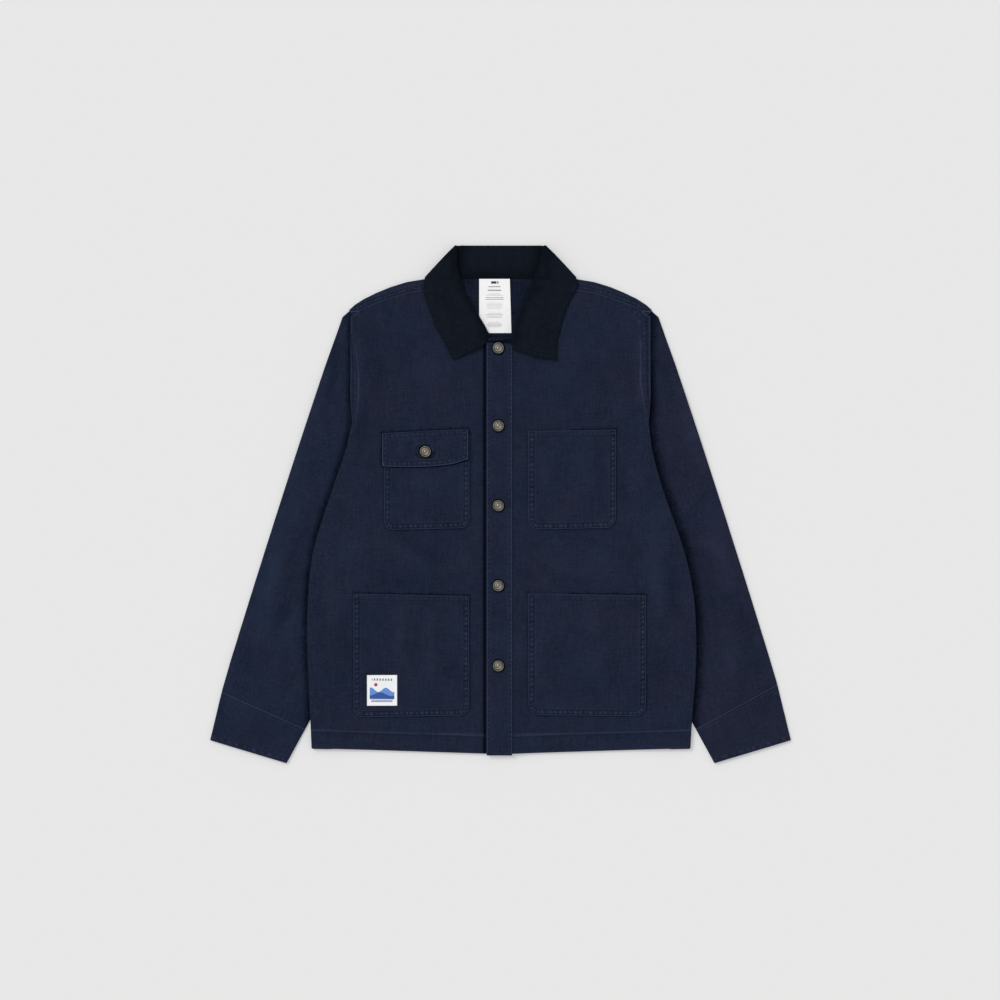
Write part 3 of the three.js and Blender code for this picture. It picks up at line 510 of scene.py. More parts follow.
POCKET_SEAMS = [
    sewn(sides_and_bottom, 8.0, 1.8, 7.8, edge=1.3),
    sewn(top_edge, 10.0, 9.0, wave=0.12, fade=0.6, spots=0.25, edge=0.8),
]
FRONT_SEAMS = [
    sewn(armhole, 8.0, 3.2, 7.6, wave=0.1, fade=0.6, spots=0.3, edge=0.6, inner=1.6, width=armhole_width),
    sewn(hem, 25.0, 25.0, wave=0.0, fade=0.9, spots=0.1, edge=0.4, inner=1.2),
]
CUFF_SEAMS = [
    sewn(top_edge, 2.0, 2.4, wave=0.1, fade=0.9, spots=0.2, edge=1.7),
    sewn(bottom_edge, 8.0, 8.0, wave=0.2, pitch=12, fade=0.4, spots=0.8, edge=0.5),
]
SEAMS = {
    "chest_pocket_right": POCKET_SEAMS,
    "chest_pocket_left": POCKET_SEAMS,
    "hip_pocket_right": POCKET_SEAMS,
    "hip_pocket_left": POCKET_SEAMS,
    "pocket_flap": [
        sewn(sides_and_bottom, 8.0, 1.8, 7.8, fade=0.7, edge=2.4),
        sewn(top_edge, 8.0, 1.8, 7.8, wave=0.1, fade=0.5, edge=0.7),
    ],
    "front_band": [sewn(upright, 5.0, 4.0, wave=0.16, pitch=7, fade=0.3, spots=0.7, edge=1.8, inner=0.9)],
    "back": [sewn(shoulder, 8.0, 1.8, 7.6, wave=0.12, fade=0.9, spots=0.5, edge=1.5)],
    "cuff_right": CUFF_SEAMS,
    "cuff_left": CUFF_SEAMS,
    "collar": [sewn(collar_edge, 6.5, 6.0, wave=0.2, pitch=9, fade=0.6, edge=-0.3)],
    "front_right": FRONT_SEAMS,
    "front_left": FRONT_SEAMS,
}

# Materials


class Nodes:
    """Short names for making and joining the nodes of one tree."""

    def __init__(self, tree):
        self.tree = tree

    def add(self, kind, **values):
        node = self.tree.nodes.new(kind)
        for name, value in values.items():
            setattr(node, name, value)
        return node

    def put(self, value, target):
        if hasattr(value, "is_linked") or hasattr(value, "links"):
            self.tree.links.new(value, target)
        else:
            target.default_value = value

    def math(self, operation, first, second=0.0, third=0.0, clamp=False):
        node = self.add("ShaderNodeMath", operation=operation, use_clamp=clamp)
        for place, value in enumerate((first, second, third)):
            self.put(value, node.inputs[place])
        return node.outputs[0]

    def noise(self, vector, scale, detail=2.0, roughness=0.5):
        node = self.add("ShaderNodeTexNoise")
        self.put(vector, node.inputs["Vector"])
        node.inputs["Scale"].default_value = scale
        node.inputs["Detail"].default_value = detail
        node.inputs["Roughness"].default_value = roughness
        return node.outputs["Fac"]

    def stretch(self, vector, scale, turn=0.0, move=(0, 0, 0)):
        node = self.add("ShaderNodeMapping")
        self.put(vector, node.inputs["Vector"])
        node.inputs["Location"].default_value = move
        node.inputs["Rotation"].default_value = (0, 0, turn)
        node.inputs["Scale"].default_value = scale
        return node.outputs["Vector"]

    def swing(self, total, value, amount):
        """Adds to a total how far a value is from 0.5."""
        return self.math("MULTIPLY_ADD", self.math("SUBTRACT", value, 0.5), amount, total)

    def join(self, x, y):
        node = self.add("ShaderNodeCombineXYZ")
        self.put(x, node.inputs[0])
        self.put(y, node.inputs[1])
        return node.outputs[0]

    def mix(self, share, first, second):
        node = self.add("ShaderNodeMix", data_type="RGBA", clamp_factor=True)
        self.put(share, node.inputs[0])
        self.put(first, node.inputs[6])
        self.put(second, node.inputs[7])
        return node.outputs[2]

    def bump(self, height, shader, strength, distance=0.0001):
        node = self.add("ShaderNodeBump")
        node.inputs["Strength"].default_value = strength
        node.inputs["Distance"].default_value = distance
        self.put(height, node.inputs["Height"])
        self.put(node.outputs["Normal"], shader.inputs["Normal"])


def new_material(name):
    """A material, its nodes, its shader and the object's own coordinates."""
    material = bpy.data.materials.new(name)
    material.use_nodes = True
    n = Nodes(material.node_tree)
    shader = material.node_tree.nodes["Principled BSDF"]
    return material, n, shader, n.add("ShaderNodeTexCoord").outputs["Object"]


def cloth_group(name, **choices):
    """A node group for a cloth's colour, roughness and height, with its nodes, its ends and the place."""
    group = bpy.data.node_groups.new(name, "ShaderNodeTree")
    socket = group.interface.new_socket
    socket("Vector", in_out="INPUT", socket_type="NodeSocketVector")
    for key, value in {"Wear_and_shade": 0.0, **choices}.items():
        kind = "NodeSocketFloat" if isinstance(value, float) else "NodeSocketColor"
        socket(key, in_out="INPUT", socket_type=kind).default_value = value
    socket("Color", in_out="OUTPUT", socket_type="NodeSocketColor")
    for key in ("Roughness", "Height"):
        socket(key, in_out="OUTPUT", socket_type="NodeSocketFloat")
    n = Nodes(group)
    given = n.add("NodeGroupInput")
    return group, n, given, n.add("NodeGroupOutput"), given.outputs["Vector"]


def weave_group():
    """Cotton twill: diagonal ribs, slubby warp, cloudy dye, lighter where it has faded, and lighter or darker
    where light and shade are painted on it.
    """
    rib_width = 1.1 * MM
    group, n, given, out, place = cloth_group(
        "cotton_twill", Dyed=(0.0015, 0.003, 0.009, 1), Faded=(0.035, 0.056, 0.112, 1), Purple=0.5
    )
    ribs_at = n.add("ShaderNodeSeparateXYZ")
    n.put(n.stretch(place, (1, 1, 1), turn=math.radians(-27)), ribs_at.inputs[0])
    ribs = n.math("SINE", n.math("MULTIPLY", ribs_at.outputs[0], 2 * math.pi / rib_width))
    slub = n.noise(n.stretch(place, (1, 0.09, 1)), 520, 2.0)
    weft = n.noise(n.stretch(place, (0.16, 1, 1)), 430, 1.0)
    grain = n.noise(place, 480, 1.0)
    clouds = n.noise(place, 17, 3.0, 0.55)
    patches = n.noise(place, 70, 2.0, 0.6)
    hue = n.noise(n.stretch(place, (1, 1, 1), move=(3, 1, 0)), 14, 2.0)
    share = 0.27
    for unevenness, amount in ((slub, 0.2), (weft, 0.14), (grain, 0.3), (clouds, 0.13), (patches, 0.1)):
        share = n.swing(share, unevenness, amount)
    share = n.math("MULTIPLY_ADD", ribs, 0.035, share)
    share = n.math("MULTIPLY_ADD", given.outputs["Wear_and_shade"], 0.3, share)
    purple = n.swing(given.outputs["Purple"], hue, 1.8)
    faded = n.mix(purple, given.outputs["Faded"], (0.047, 0.052, 0.102, 1))
    n.put(n.mix(n.math("MAXIMUM", share, 0.0), given.outputs["Dyed"], faded), out.inputs["Color"])
    n.put(n.math("MULTIPLY_ADD", patches, 0.12, 0.78), out.inputs["Roughness"])
    high = n.math("MULTIPLY_ADD", ribs, 0.28, n.math("MULTIPLY", slub, 0.7))
    n.put(n.math("MULTIPLY_ADD", grain, 0.5, high), out.inputs["Height"])
    return group


def corduroy_group():
    """Fine corduroy: soft ribs of pile with darker furrows between them."""
    wale_width = 1.7 * MM
    group, n, given, out, place = cloth_group(
        "fine_corduroy", Furrow=(0.003, 0.0045, 0.008, 1), Pile=(0.009, 0.013, 0.022, 1)
    )
    across = n.add("ShaderNodeSeparateXYZ")
    n.put(place, across.inputs[0])
    bend = n.noise(n.stretch(place, (1, 0.4, 1)), 30, 1.0)
    turns = n.math("MULTIPLY", across.outputs[0], 2 * math.pi / wale_width)
    wales = n.math("SINE", n.math("MULTIPLY_ADD", bend, 1.4, turns))
    nap = n.noise(n.stretch(place, (1, 0.3, 1)), 700, 2.0)
    rubbed = n.noise(place, 110, 3.0, 0.65)
    share = n.math("MULTIPLY_ADD", wales, 0.17, 0.42)
    share = n.swing(share, nap, 0.5)
    share = n.swing(share, rubbed, 0.7)
    # Painted shade along the collar's roll comes in here with the faded wear.
    share = n.math("MULTIPLY_ADD", given.outputs["Wear_and_shade"], 0.5, share)
    colour = n.mix(n.math("MAXIMUM", share, 0.0), given.outputs["Furrow"], given.outputs["Pile"])
    n.put(colour, out.inputs["Color"])
    n.put(n.math("MULTIPLY_ADD", nap, 0.1, 0.86), out.inputs["Roughness"])
    n.put(n.math("MULTIPLY_ADD", wales, 0.5, n.math("MULTIPLY", nap, 0.4)), out.inputs["Height"])
    return group


def fabric(name, group, turn=0.0, bump=0.35, sheen=0.08, sheen_tint=(0.35, 0.42, 0.62, 1), **values):
    """A cloth material on one of the groups, with its pattern turned to the piece's own grain."""
    material, n, shader, place = new_material(name)
    made = n.add("ShaderNodeGroup")
    made.node_tree = group
    for key, value in values.items():
        made.inputs[key].default_value = value
    n.put(n.stretch(place, (1, 1, 1), turn=turn), made.inputs["Vector"])
    # This attribute holds the cloth's faded wear together with painted light and shade.
    wear_and_shade = n.add("ShaderNodeAttribute", attribute_name="wear_and_shade")
    n.put(wear_and_shade.outputs["Fac"], made.inputs["Wear_and_shade"])
    n.bump(made.outputs["Height"], shader, bump, distance=0.0003)
    n.put(made.outputs["Color"], shader.inputs["Base Color"])
    n.put(made.outputs["Roughness"], shader.inputs["Roughness"])
    shader.inputs["Specular IOR Level"].default_value = 0.04
    shader.inputs["Sheen Weight"].default_value = sheen
    shader.inputs["Sheen Roughness"].default_value = 0.45
    shader.inputs["Sheen Tint"].default_value = sheen_tint
    return material


def thread(name, dark, light):
    """Sewing thread, whose dye varies from place to place."""
    material, n, shader, place = new_material(name)
    n.put(n.mix(n.noise(place, 180, 3.0), dark, light), shader.inputs["Base Color"])
    n.put(n.math("MULTIPLY_ADD", n.noise(place, 2500, 1.0), 0.3, 0.45), shader.inputs["Roughness"])
    shader.inputs["Specular IOR Level"].default_value = 0.3
    return material


def antique_metal():
    """Satin metal, dark in its grooves and bright where it is rubbed."""
    material, n, shader, place = new_material("antique_metal")
    rubbed = n.add("ShaderNodeAttribute", attribute_name="wear_and_shade").outputs["Fac"]
    cloudy = n.noise(place, 420, 3.0, 0.6)
    share = n.math("MULTIPLY_ADD", n.math("SUBTRACT", cloudy, 0.5), 0.6, rubbed, clamp=True)
    n.put(n.mix(share, (0.028, 0.027, 0.024, 1), (0.5, 0.455, 0.38, 1)), shader.inputs["Base Color"])
    n.put(n.math("MULTIPLY_ADD", cloudy, 0.25, 0.3), shader.inputs["Roughness"])
    n.put(n.math("MULTIPLY_ADD", share, 0.35, 0.6), shader.inputs["Metallic"])
    n.bump(n.noise(place, 2600, 2.0), shader, 0.2)
    return material


def within(n, value, low, high):
    """1 where a value is between two limits in millimetres."""
    above = n.math("GREATER_THAN", value, low * MM)
    return n.math("MULTIPLY", above, n.math("LESS_THAN", value, high * MM))


def block(n, x, y, left, right, low, high):
    """1 inside a rectangle, in millimetres."""
    return n.math("MULTIPLY", within(n, y, low, high), within(n, x, left, right))


def wavy_line(n, x, lean, start, tall, middle):
    """A wave's height at each x, in metres. It turns by lean radians for each millimetre."""
    turn = n.math("MULTIPLY_ADD", x, lean / MM, start)
    return n.math("MULTIPLY_ADD", n.math("SINE", turn), tall * MM, middle * MM)


def label_material(name, draw, middle, turn=0.0):
    """White woven tape, and on it the print that draw(n, x, y, ground) makes, round the label's middle."""
    material, n, shader, place = new_material(name)
    centred = n.stretch(place, (1, 1, 1), move=(-middle[0] * MM, -middle[1] * MM, 0))
    turned = n.add("ShaderNodeSeparateXYZ")
    n.put(n.stretch(centred, (1, 1, 1), turn=turn), turned.inputs[0])
    x, y = turned.outputs[0], turned.outputs[1]
    warp = n.math("SINE", n.math("MULTIPLY", x, 2 * math.pi / (0.7 * MM)))
    weft = n.math("SINE", n.math("MULTIPLY", y, 2 * math.pi / (0.5 * MM)))
    threads = n.math("MULTIPLY", warp, weft)
    ground = n.mix(n.noise(place, 150, 3.0), (0.86, 0.86, 0.86, 1), (0.94, 0.94, 0.94, 1))
    n.put(draw(n, x, y, ground), shader.inputs["Base Color"])
    n.put(n.math("MULTIPLY_ADD", n.noise(place, 900, 1.0), 0.2, 0.6), shader.inputs["Roughness"])
    shader.inputs["Specular IOR Level"].default_value = 0.25
    n.bump(threads, shader, 0.3)
    return material


def hills_print(n, x, y, ground):
    """Blue hills under a small red sun and a row of dark blocks, over two thin stripes."""
    sun_at, sun_radius = (-9.5, 8.5), 2.6
    inner = block(n, x, y, -18.5, 18.5, -18, 18)
    colour = n.mix(n.math("MULTIPLY", inner, 0.05), ground, (0.16, 0.33, 0.72, 1))
    over = n.math("MULTIPLY", inner, n.math("GREATER_THAN", y, -13 * MM))
    far = wavy_line(n, x, 0.28, 0, 3.2, 1.0)
    colour = n.mix(n.math("MULTIPLY", n.math("LESS_THAN", y, far), over), colour, (0.13, 0.27, 0.62, 1))
    near = wavy_line(n, x, 0.19, 2.1, 2.6, -5.5)
    colour = n.mix(n.math("MULTIPLY", n.math("LESS_THAN", y, near), over), colour, (0.035, 0.09, 0.33, 1))
    sun_x = n.math("SUBTRACT", x, sun_at[0] * MM)
    sun_y = n.math("SUBTRACT", y, sun_at[1] * MM)
    apart = n.math("ADD", n.math("MULTIPLY", sun_x, sun_x), n.math("MULTIPLY", sun_y, sun_y))
    colour = n.mix(n.math("LESS_THAN", apart, (sun_radius * MM) ** 2), colour, (0.5, 0.04, 0.06, 1))
    filled = n.math("GREATER_THAN", n.math("SINE", n.math("MULTIPLY", x, 1.5 / MM)), -0.2)
    row = n.math("MULTIPLY", block(n, x, y, -15.5, 15.5, 14.5, 18), filled)
    colour = n.mix(n.math("MULTIPLY", row, 0.8), colour, (0.06, 0.09, 0.16, 1))
    for low in (-15.2, -17.4):
        colour = n.mix(block(n, x, y, -16, 16, low, low + 1.1), colour, (0.03, 0.07, 0.26, 1))
    return colour


# The neck label's rules, in millimetres from its middle: height on it, half the length, half the thickness,
# and how dark the rule is.
RULES = [
    (28, 9, 0.8, 0.8), (22.5, 10, 1.0, 0.8), (17, 9, 0.5, 0.5), (15, 13, 0.4, 0.5),
    (11.5, 13, 0.6, 0.7), (9, 14, 0.6, 0.7), (3.5, 11, 0.5, 0.3), (1.5, 12, 0.5, 0.35),
    (-0.5, 11, 0.5, 0.35), (-2.5, 12, 0.5, 0.35), (-4.5, 10, 0.5, 0.3), (-12, 10, 0.5, 0.4),
    (-14, 13, 0.5, 0.5), (-16, 12, 0.5, 0.45), (-18, 11, 0.5, 0.5), (-26, 9, 0.6, 0.35),
    (-28, 11, 0.6, 0.5), (-30, 11, 0.6, 0.5), (-32, 10, 0.6, 0.4),
]


def ruled_print(n, x, y, ground):
    """Broken rules of several lengths and greys, with a small dark bar and a red block above them."""
    colour = ground
    broken = n.math("MULTIPLY_ADD", n.noise(n.join(x, y), 900, 1.0), 1.6, 0.1, clamp=True)
    for middle, half, thick, dark in RULES:
        rule = n.math("MULTIPLY", block(n, x, y, -half, half, middle - thick, middle + thick), dark)
        colour = n.mix(n.math("MULTIPLY", rule, broken), colour, (0.12, 0.12, 0.15, 1))
    colour = n.mix(block(n, x, y, -5, 3, 32.5, 36), colour, (0.02, 0.02, 0.05, 1))
    return n.mix(block(n, x, y, 4, 6, 32.5, 36), colour, (0.3, 0.03, 0.06, 1))


twill = weave_group()
ribbed = corduroy_group()
BODY_CLOTH = fabric("body_twill", twill, Purple=0.5)
RIGHT_SLEEVE_CLOTH = fabric("right_sleeve_twill", twill, turn=math.radians(17), Purple=0.35)
LEFT_SLEEVE_CLOTH = fabric("left_sleeve_twill", twill, turn=math.radians(-17), Purple=0.8)
COLLAR_CLOTH = fabric("collar_corduroy", ribbed, bump=0.5, sheen=0.05, sheen_tint=(0.4, 0.5, 0.7, 1))
NAVY_THREAD = thread("navy_thread", (0.008, 0.012, 0.024, 1), (0.024, 0.034, 0.064, 1))
DARK_THREAD = thread("dark_thread", (0.003, 0.005, 0.009, 1), (0.007, 0.01, 0.017, 1))
BLUE_THREAD = thread("blue_thread", (0.01, 0.025, 0.05, 1), (0.03, 0.07, 0.13, 1))
OLIVE_THREAD = thread("olive_thread", (0.05, 0.06, 0.055, 1), (0.12, 0.14, 0.12, 1))
# The buttonhole slits' near-black colour is painted shade in the opening of each slit.
SLIT_SHADE = thread("slit_painted_shade", (0.002, 0.0025, 0.004, 1), (0.006, 0.008, 0.012, 1))
WHITE_THREAD = thread("white_thread", (0.6, 0.62, 0.66, 1), (0.8, 0.81, 0.83, 1))
METAL = antique_metal()
NECK_TAPE = label_material("neck_tape", ruled_print, (-9.0, 298.5))
HILLS_TAPE = label_material("hills_tape", hills_print, (-177.5, -279.0), turn=math.radians(1))

# Cloth pieces

pieces = {}
CLOTH_NODES = [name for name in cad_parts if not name.startswith("button")]
runs = {node: outline(node) for node in CLOTH_NODES}


def front_layers(x, y):
    """The height that every layer of the front shares, so that the layers stay on each other."""
    return crease_height(x, y, FRONT_CREASES) + rumple(x, y, 1.0)


def front_piece(node, grid):
    piece = as_piece(node + "_cloth", cloth_form(node, grid, 1.25), BODY_CLOTH, node)

    def change(x, y, z, up):
        height = front_layers(x, y)
        relief, wear_and_shade = seam_relief(x, y, runs[node], SEAMS[node])
        # Crease ridges get lighter and troughs darker: partly faded wear on the ridges, partly painted shade
        # in the troughs.
        wear_and_shade = wear_and_shade + 0.2 * height
        shift = (0, 0)
        # Painted shadow: dark lines on this piece beside the edges of the pieces that lie on it, darkest
        # beside the flap and beside their top edges.
        for other in LIES_ON.get(node, []):
            gap, _ = near_edge(x, y, runs[other], sides_and_bottom)
            wear_and_shade = wear_and_shade - (1.2 if other == "pocket_flap" else 0.3) * bell(gap, 0.5, 1.1)
            gap, _ = near_edge(x, y, runs[other], top_edge)
            wear_and_shade = wear_and_shade - 0.9 * bell(gap, 0.6, 1.1)
        # Painted shadow of each button, dark round and under its rim.
        for button_x, button_y in BUTTONS_ON.get(node, []):
            ring = np.hypot(x - button_x, y - button_y)
            wear_and_shade = wear_and_shade - 1.6 * ramp(ring, BUTTON_SHADOW_RADIUS + 1.1, BUTTON_SHADOW_RADIUS - 0.4)
        if node == "pocket_flap":
            for corner_x, corner_y in WORN_CORNERS:
                wear_and_shade = wear_and_shade + 3 * np.exp(-(((x - corner_x) ** 2 + (y - corner_y) ** 2) / 3))
        if node == "front_right":
            # The right front sinks beside the band that covers its edge, and shade is painted dark into the
            # gutter.
            gutter = bell(x, BAND_GUTTER_X, 2.4)
            height = height - 0.6 * gutter
            wear_and_shade = wear_and_shade - 1.6 * gutter
        if node == "front_band":
            # A painted shadow of the collar's points and the neck darkens the band's top.
            wear_and_shade = wear_and_shade - 1.3 * ramp(y + 0.1 * np.maximum(x, 0), 241, 243)
        if node in ("front_right", "front_left"):
            lap, aside = armhole_lap(x, y)
            height = height + lap
            gap, _ = near_edge(x, y, runs[node], front_shoulder)
            shift = (aside, SHOULDER_DRAWN * (gap < SEAM_REACH))
        top = height + np.where(up > 0.3, relief, 0)
        return np.where(up > 0, top, sunk(height)), wear_and_shade, shift

    lift(piece, change)
    pieces[node] = piece


for node, grid in {
    "front_right": 5.0,
    "front_left": 5.0,
    "front_band": 2.5,
    "chest_pocket_right": 3.0,
    "chest_pocket_left": 3.0,
    "hip_pocket_right": 3.0,
    "hip_pocket_left": 3.0,
    "pocket_flap": 2.5,
}.items():
    front_piece(node, grid)


def own_piece(node, grid, material, slot, creases, seed, coarse, fine, extra=None, plies=False, **how):
    """A cloth piece with creases and rumples of its own. One with plies is a flat tube."""
    if plies:
        how["shown"] = lambda x, y, z: z > UPPER_PLY_Z
    piece = as_piece(node + "_cloth", cloth_form(node, grid, 1.25, **how), material, node)

    def change(x, y, z, up):
        height = crease_height(x, y, creases) + rumple(x, y, seed, coarse, fine)
        relief, wear_and_shade = seam_relief(x, y, runs[node], SEAMS.get(node, []))
        # Crease ridges get lighter and troughs darker: partly faded wear on the ridges, partly painted shade
        # in the troughs.
        wear_and_shade = wear_and_shade + 0.2 * height
        height = height + relief if plies else np.where(up > 0, height + relief, 0)
        height, wear_and_shade, shift = extra(x, y, z, up, height, wear_and_shade) if extra else (height, wear_and_shade, (0, 0))
        return settled(height, z, up) if plies else height, wear_and_shade, shift

    lift(piece, change)
    pieces[node] = piece


def beside_body(front, wide, deep, dark):
    """A sleeve sinks along the body's edge, where the body's shadow is painted dark into it, and is tucked
    under the shoulder's tip and the underarm.
    """

    def extra(x, y, z, up, height, wear_and_shade):
        gap, _ = near_edge(x, y, runs[front], over_sleeve)
        trough = np.exp(-((gap / wide) ** 3))
        corner = ramp(y, 262, 284) * ramp(np.abs(x), 232, 226)
        head = bell(y, 282, 16) * ramp(np.abs(x), 226, 234)
        underarm = np.exp(-(((y - 122) / 23) ** 4)) * ramp(np.abs(x), 229, 224)
        shift = (np.sign(x) * (2.0 * head - 3.5 * corner - 12 * underarm), 5.4 * corner + 1.0 * head)
        return height - deep * trough, wear_and_shade - dark * trough, shift

    return extra


def shoulder_lap(x, y, z, up, height, wear_and_shade):
    """The back's shoulder strips lap over the sleeves, and its underside has creases of its own."""
    lap, aside = armhole_lap(x, y)
    over = ramp(z, 1.5, 3.5)
    strip = z > 2.5
    under = np.maximum(crease_height(x, y, UNDERSIDE_CREASES), 0)
    gap, _ = near_edge(x, y, runs["back"], shoulder)
    tip = ramp(np.abs(x), 214, 224) * strip
    shift = (over * aside - 1.3 * np.sign(x) * tip, -SHOULDER_DRAWN * (gap < SEAM_REACH) * strip - 1.3 * tip)
    # The cloth inside the neck has faded less, and the collar's shade is painted dark on it there.
    wear_and_shade = wear_and_shade - 0.45 * ramp(y, 238, 246) * ramp(np.abs(x), 72, 67)
    return np.where((up < 0) & (z < 0.3), under, height + over * lap), wear_and_shade, shift


def collar_shade(x, y, z, up, height, wear_and_shade):
    """Shade is painted dark into the pile along the roll and on the stand inside it, and the fall's edge
    wavers and sags.
    """
    gap, _ = near_edge(x, y, runs["collar"], collar_roll)
    stand = from_neck(x, y) < np.where(x < 0, 21, 13)
    wear_and_shade = wear_and_shade - np.where(stand, 1.4 * bell(gap, 0, 10), 0.9 * bell(gap, 0, 5))
    gap, along = near_edge(x, y, runs["collar"], collar_edge)
    waver = 0.7 * np.sin(along / 5.3) * np.sin(along / 17.1 + x / 31) * bell(gap, 0, 8)
    # The fall's front corners sag beside the band, and less so towards its points.
    point = np.where(x < 0, 69, 85)
    corner = np.where(x < 0, 23, 21)
    under = np.where(x < 0, 6.6, 8.0)
    above = y - 246 + 0.55 * (np.abs(x) - 21)
    sag = 8 * ramp(np.abs(x), point, corner) * bell(above, 0, 14) * ramp(z, under, under + 1.5)
    return height, wear_and_shade, (waver - 0.3 * sag * (x < 0), waver - sag)


own_piece(
    "sleeve_right", 5.0, RIGHT_SLEEVE_CLOTH, "cloth", RIGHT_SLEEVE_CREASES, 11.0, 0.5, 0.2,
    beside_body("front_right", 8, 0.8, 0.75), plies=True,
)
own_piece(
    "sleeve_left", 5.0, LEFT_SLEEVE_CLOTH, "cloth", LEFT_SLEEVE_CREASES, 17.0, 0.5, 0.2,
    beside_body("front_left", 12, 1.2, 0.85), plies=True,
)
own_piece("cuff_right", 3.0, RIGHT_SLEEVE_CLOTH, "cloth", [], 23.0, 0.4, 0.2, plies=True)
own_piece("cuff_left", 3.0, LEFT_SLEEVE_CLOTH, "cloth", [], 29.0, 0.4, 0.2, plies=True)
own_piece("collar", 2.5, COLLAR_CLOTH, "corduroy", COLLAR_CREASES, 31.0, 0.3, 0.1, collar_shade)
own_piece(
    "back", 3.5, BODY_CLOTH, "cloth", BACK_CREASES, 37.0, 0.3, 0.1, shoulder_lap,
    shown=lambda x, y, z: (y > 215) | (np.abs(x) > 205), under_grid=9,
)
own_piece("neck_label", 2.5, NECK_TAPE, "neck_label", [], 41.0, 0.2, 0.05)

pieces["pocket_label"] = as_piece(
    "pocket_label_tape", cloth_form("pocket_label", 1.5, 1.5), HILLS_TAPE, "pocket_label"
)
lift(pieces["pocket_label"], lambda x, y, z, up: (front_layers(x, y), np.zeros(x.shape), (0, 0)))

# Buttons

# A tack button's section, in millimetres: radius, height from the rim's top, and how rubbed the metal is.
BUTTON_SECTION = [
    (0, -0.3, 0.1), (1.0, -0.3, 0.4), (1.8, -0.35, 0.62), (2.5, -0.6, 0.5), (2.9, -1.0, 0.0),
    (3.3, -1.0, 0.1), (3.8, -0.65, 0.5), (5.2, -0.6, 0.36), (5.7, -0.95, 0.0), (6.3, -0.9, 0.0),
    (6.8, -0.3, 0.18), (7.4, 0, 0.36), (8.0, -0.15, 0.14), (8.4, -0.6, 0.0), (8.5, -1.1, 0.0),
    (8.3, -1.6, 0.0), (7.6, -1.9, 0.0), (3.0, -2.0, 0.0), (2.6, -2.3, 0.0),
]
SHANK_RADIUS = 2.6
BUTTON_STEPS = 48  # round the button, and each second one is a rib on the ring between the two grooves
RIB_HEIGHT = 0.09


def button(node):
    """A tack button turned from its section, with fine ribs between its two grooves."""
    low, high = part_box(node)
    x, y = (low[0] + high[0]) / 2, (low[1] + high[1]) / 2
    raised = front_layers(np.array([x / MM]), np.array([y / MM]))[0] * MM
    foot = low[2] - high[2]
    bm = bmesh.new()
    rubbed = bm.verts.layers.float.new("wear_and_shade")
    section = []
    for radius, height, rub in BUTTON_SECTION + [(SHANK_RADIUS, foot / MM, 0.0), (0, foot / MM, 0.0)]:
        vert = bm.verts.new((radius * MM, 0, height * MM))
        vert[rubbed] = rub
        section.append(vert)
    edges = [bm.edges.new(pair) for pair in zip(section, section[1:])]
    bmesh.ops.spin(
        bm,
        geom=section + edges,
        cent=(0, 0, 0),
        axis=(0, 0, 1),
        angle=2 * math.pi,
        steps=BUTTON_STEPS,
        use_merge=True,
    )
    bmesh.ops.remove_doubles(bm, verts=bm.verts, dist=1e-6)
    bmesh.ops.recalc_face_normals(bm, faces=bm.faces)
    for vert in bm.verts:
        radius = math.hypot(vert.co.x, vert.co.y) / MM
        turn = math.atan2(vert.co.y, vert.co.x)
        if 3.5 < radius < 5.8 and vert.co.z > -1.5 * MM:
            step = round(turn * BUTTON_STEPS / (2 * math.pi))
            vert.co.z += RIB_HEIGHT * MM * (1 if step % 2 else -1)
    bmesh.ops.translate(bm, verts=bm.verts, vec=(x, y, high[2] + raised))
    pieces[node] = as_piece(node + "_metal", bm, METAL, node)


for node in [f"button_{count}" for count in range(1, 6)] + ["button_flap"]:
    button(node)

# Stitches


class Sewing:
    """Gathers the stitches of one thread into one piece."""

    def __init__(self):
        self.bm = bmesh.new()

    def stitch(self, surface, x, y, dx, dy, half_length=1.15, half_width=0.28, rise=0.02):
        """One stitch on a surface, at plan millimetres and along a direction."""
        hit, normal, _, _ = surface.ray_cast(Vector((x * MM, y * MM, 0.1)), Vector((0, 0, -1)))
        if hit is None or normal.z < 0.2:
            return
        ahead = Vector((dx, dy, 0))
        ahead = (ahead - normal * ahead.dot(normal)).normalized()
        aside = normal.cross(ahead)
        turn = Matrix((ahead, aside, normal)).transposed().to_4x4()
        size = Matrix.Diagonal((half_length * MM, half_width * MM, 0.24 * MM, 1))
        place = Matrix.Translation(hit + normal * rise * MM) @ turn @ size
        bmesh.ops.create_icosphere(self.bm, subdivisions=1, radius=1, matrix=place)

    def row(self, node, inset, keep, pitch=3.1, width=None, **size):
        """A row of stitches that runs inside a piece's outline."""
        spots = []
        for ax, ay, dx, dy, length, passed in steps(runs[node], keep):
            at = pitch - passed % pitch
            while at < length:
                inside = inset * width(ax + dx * at, ay + dy * at) if width else inset
                spots.append((ax + dx * at - dy * inside, ay + dy * at + dx * inside, dx, dy))
                at += pitch
        x = np.array([spot[0] for spot in spots])
        y = np.array([spot[1] for spot in spots])
        gap, _ = near_edge(x, y, runs[node], keep)
        for spot, far in zip(spots, gap):
            if far > inset - 0.15 or width:
                self.stitch(surfaces[node], *spot, **size)

    def line(self, node, points, pitch=3.1, **size):
        """A row of stitches along plan points."""
        for (ax, ay), (bx, by) in zip(points, points[1:]):
            length = math.dist((ax, ay), (bx, by))
            dx, dy = (bx - ax) / length, (by - ay) / length
            for count in range(int(length / pitch)):
                at = (count + 0.5) * length / int(length / pitch)
                self.stitch(surfaces[node], ax + dx * at, ay + dy * at, dx, dy, **size)

    def done(self, name, material, slot):
        pieces[name] = as_piece(name, self.bm, material)


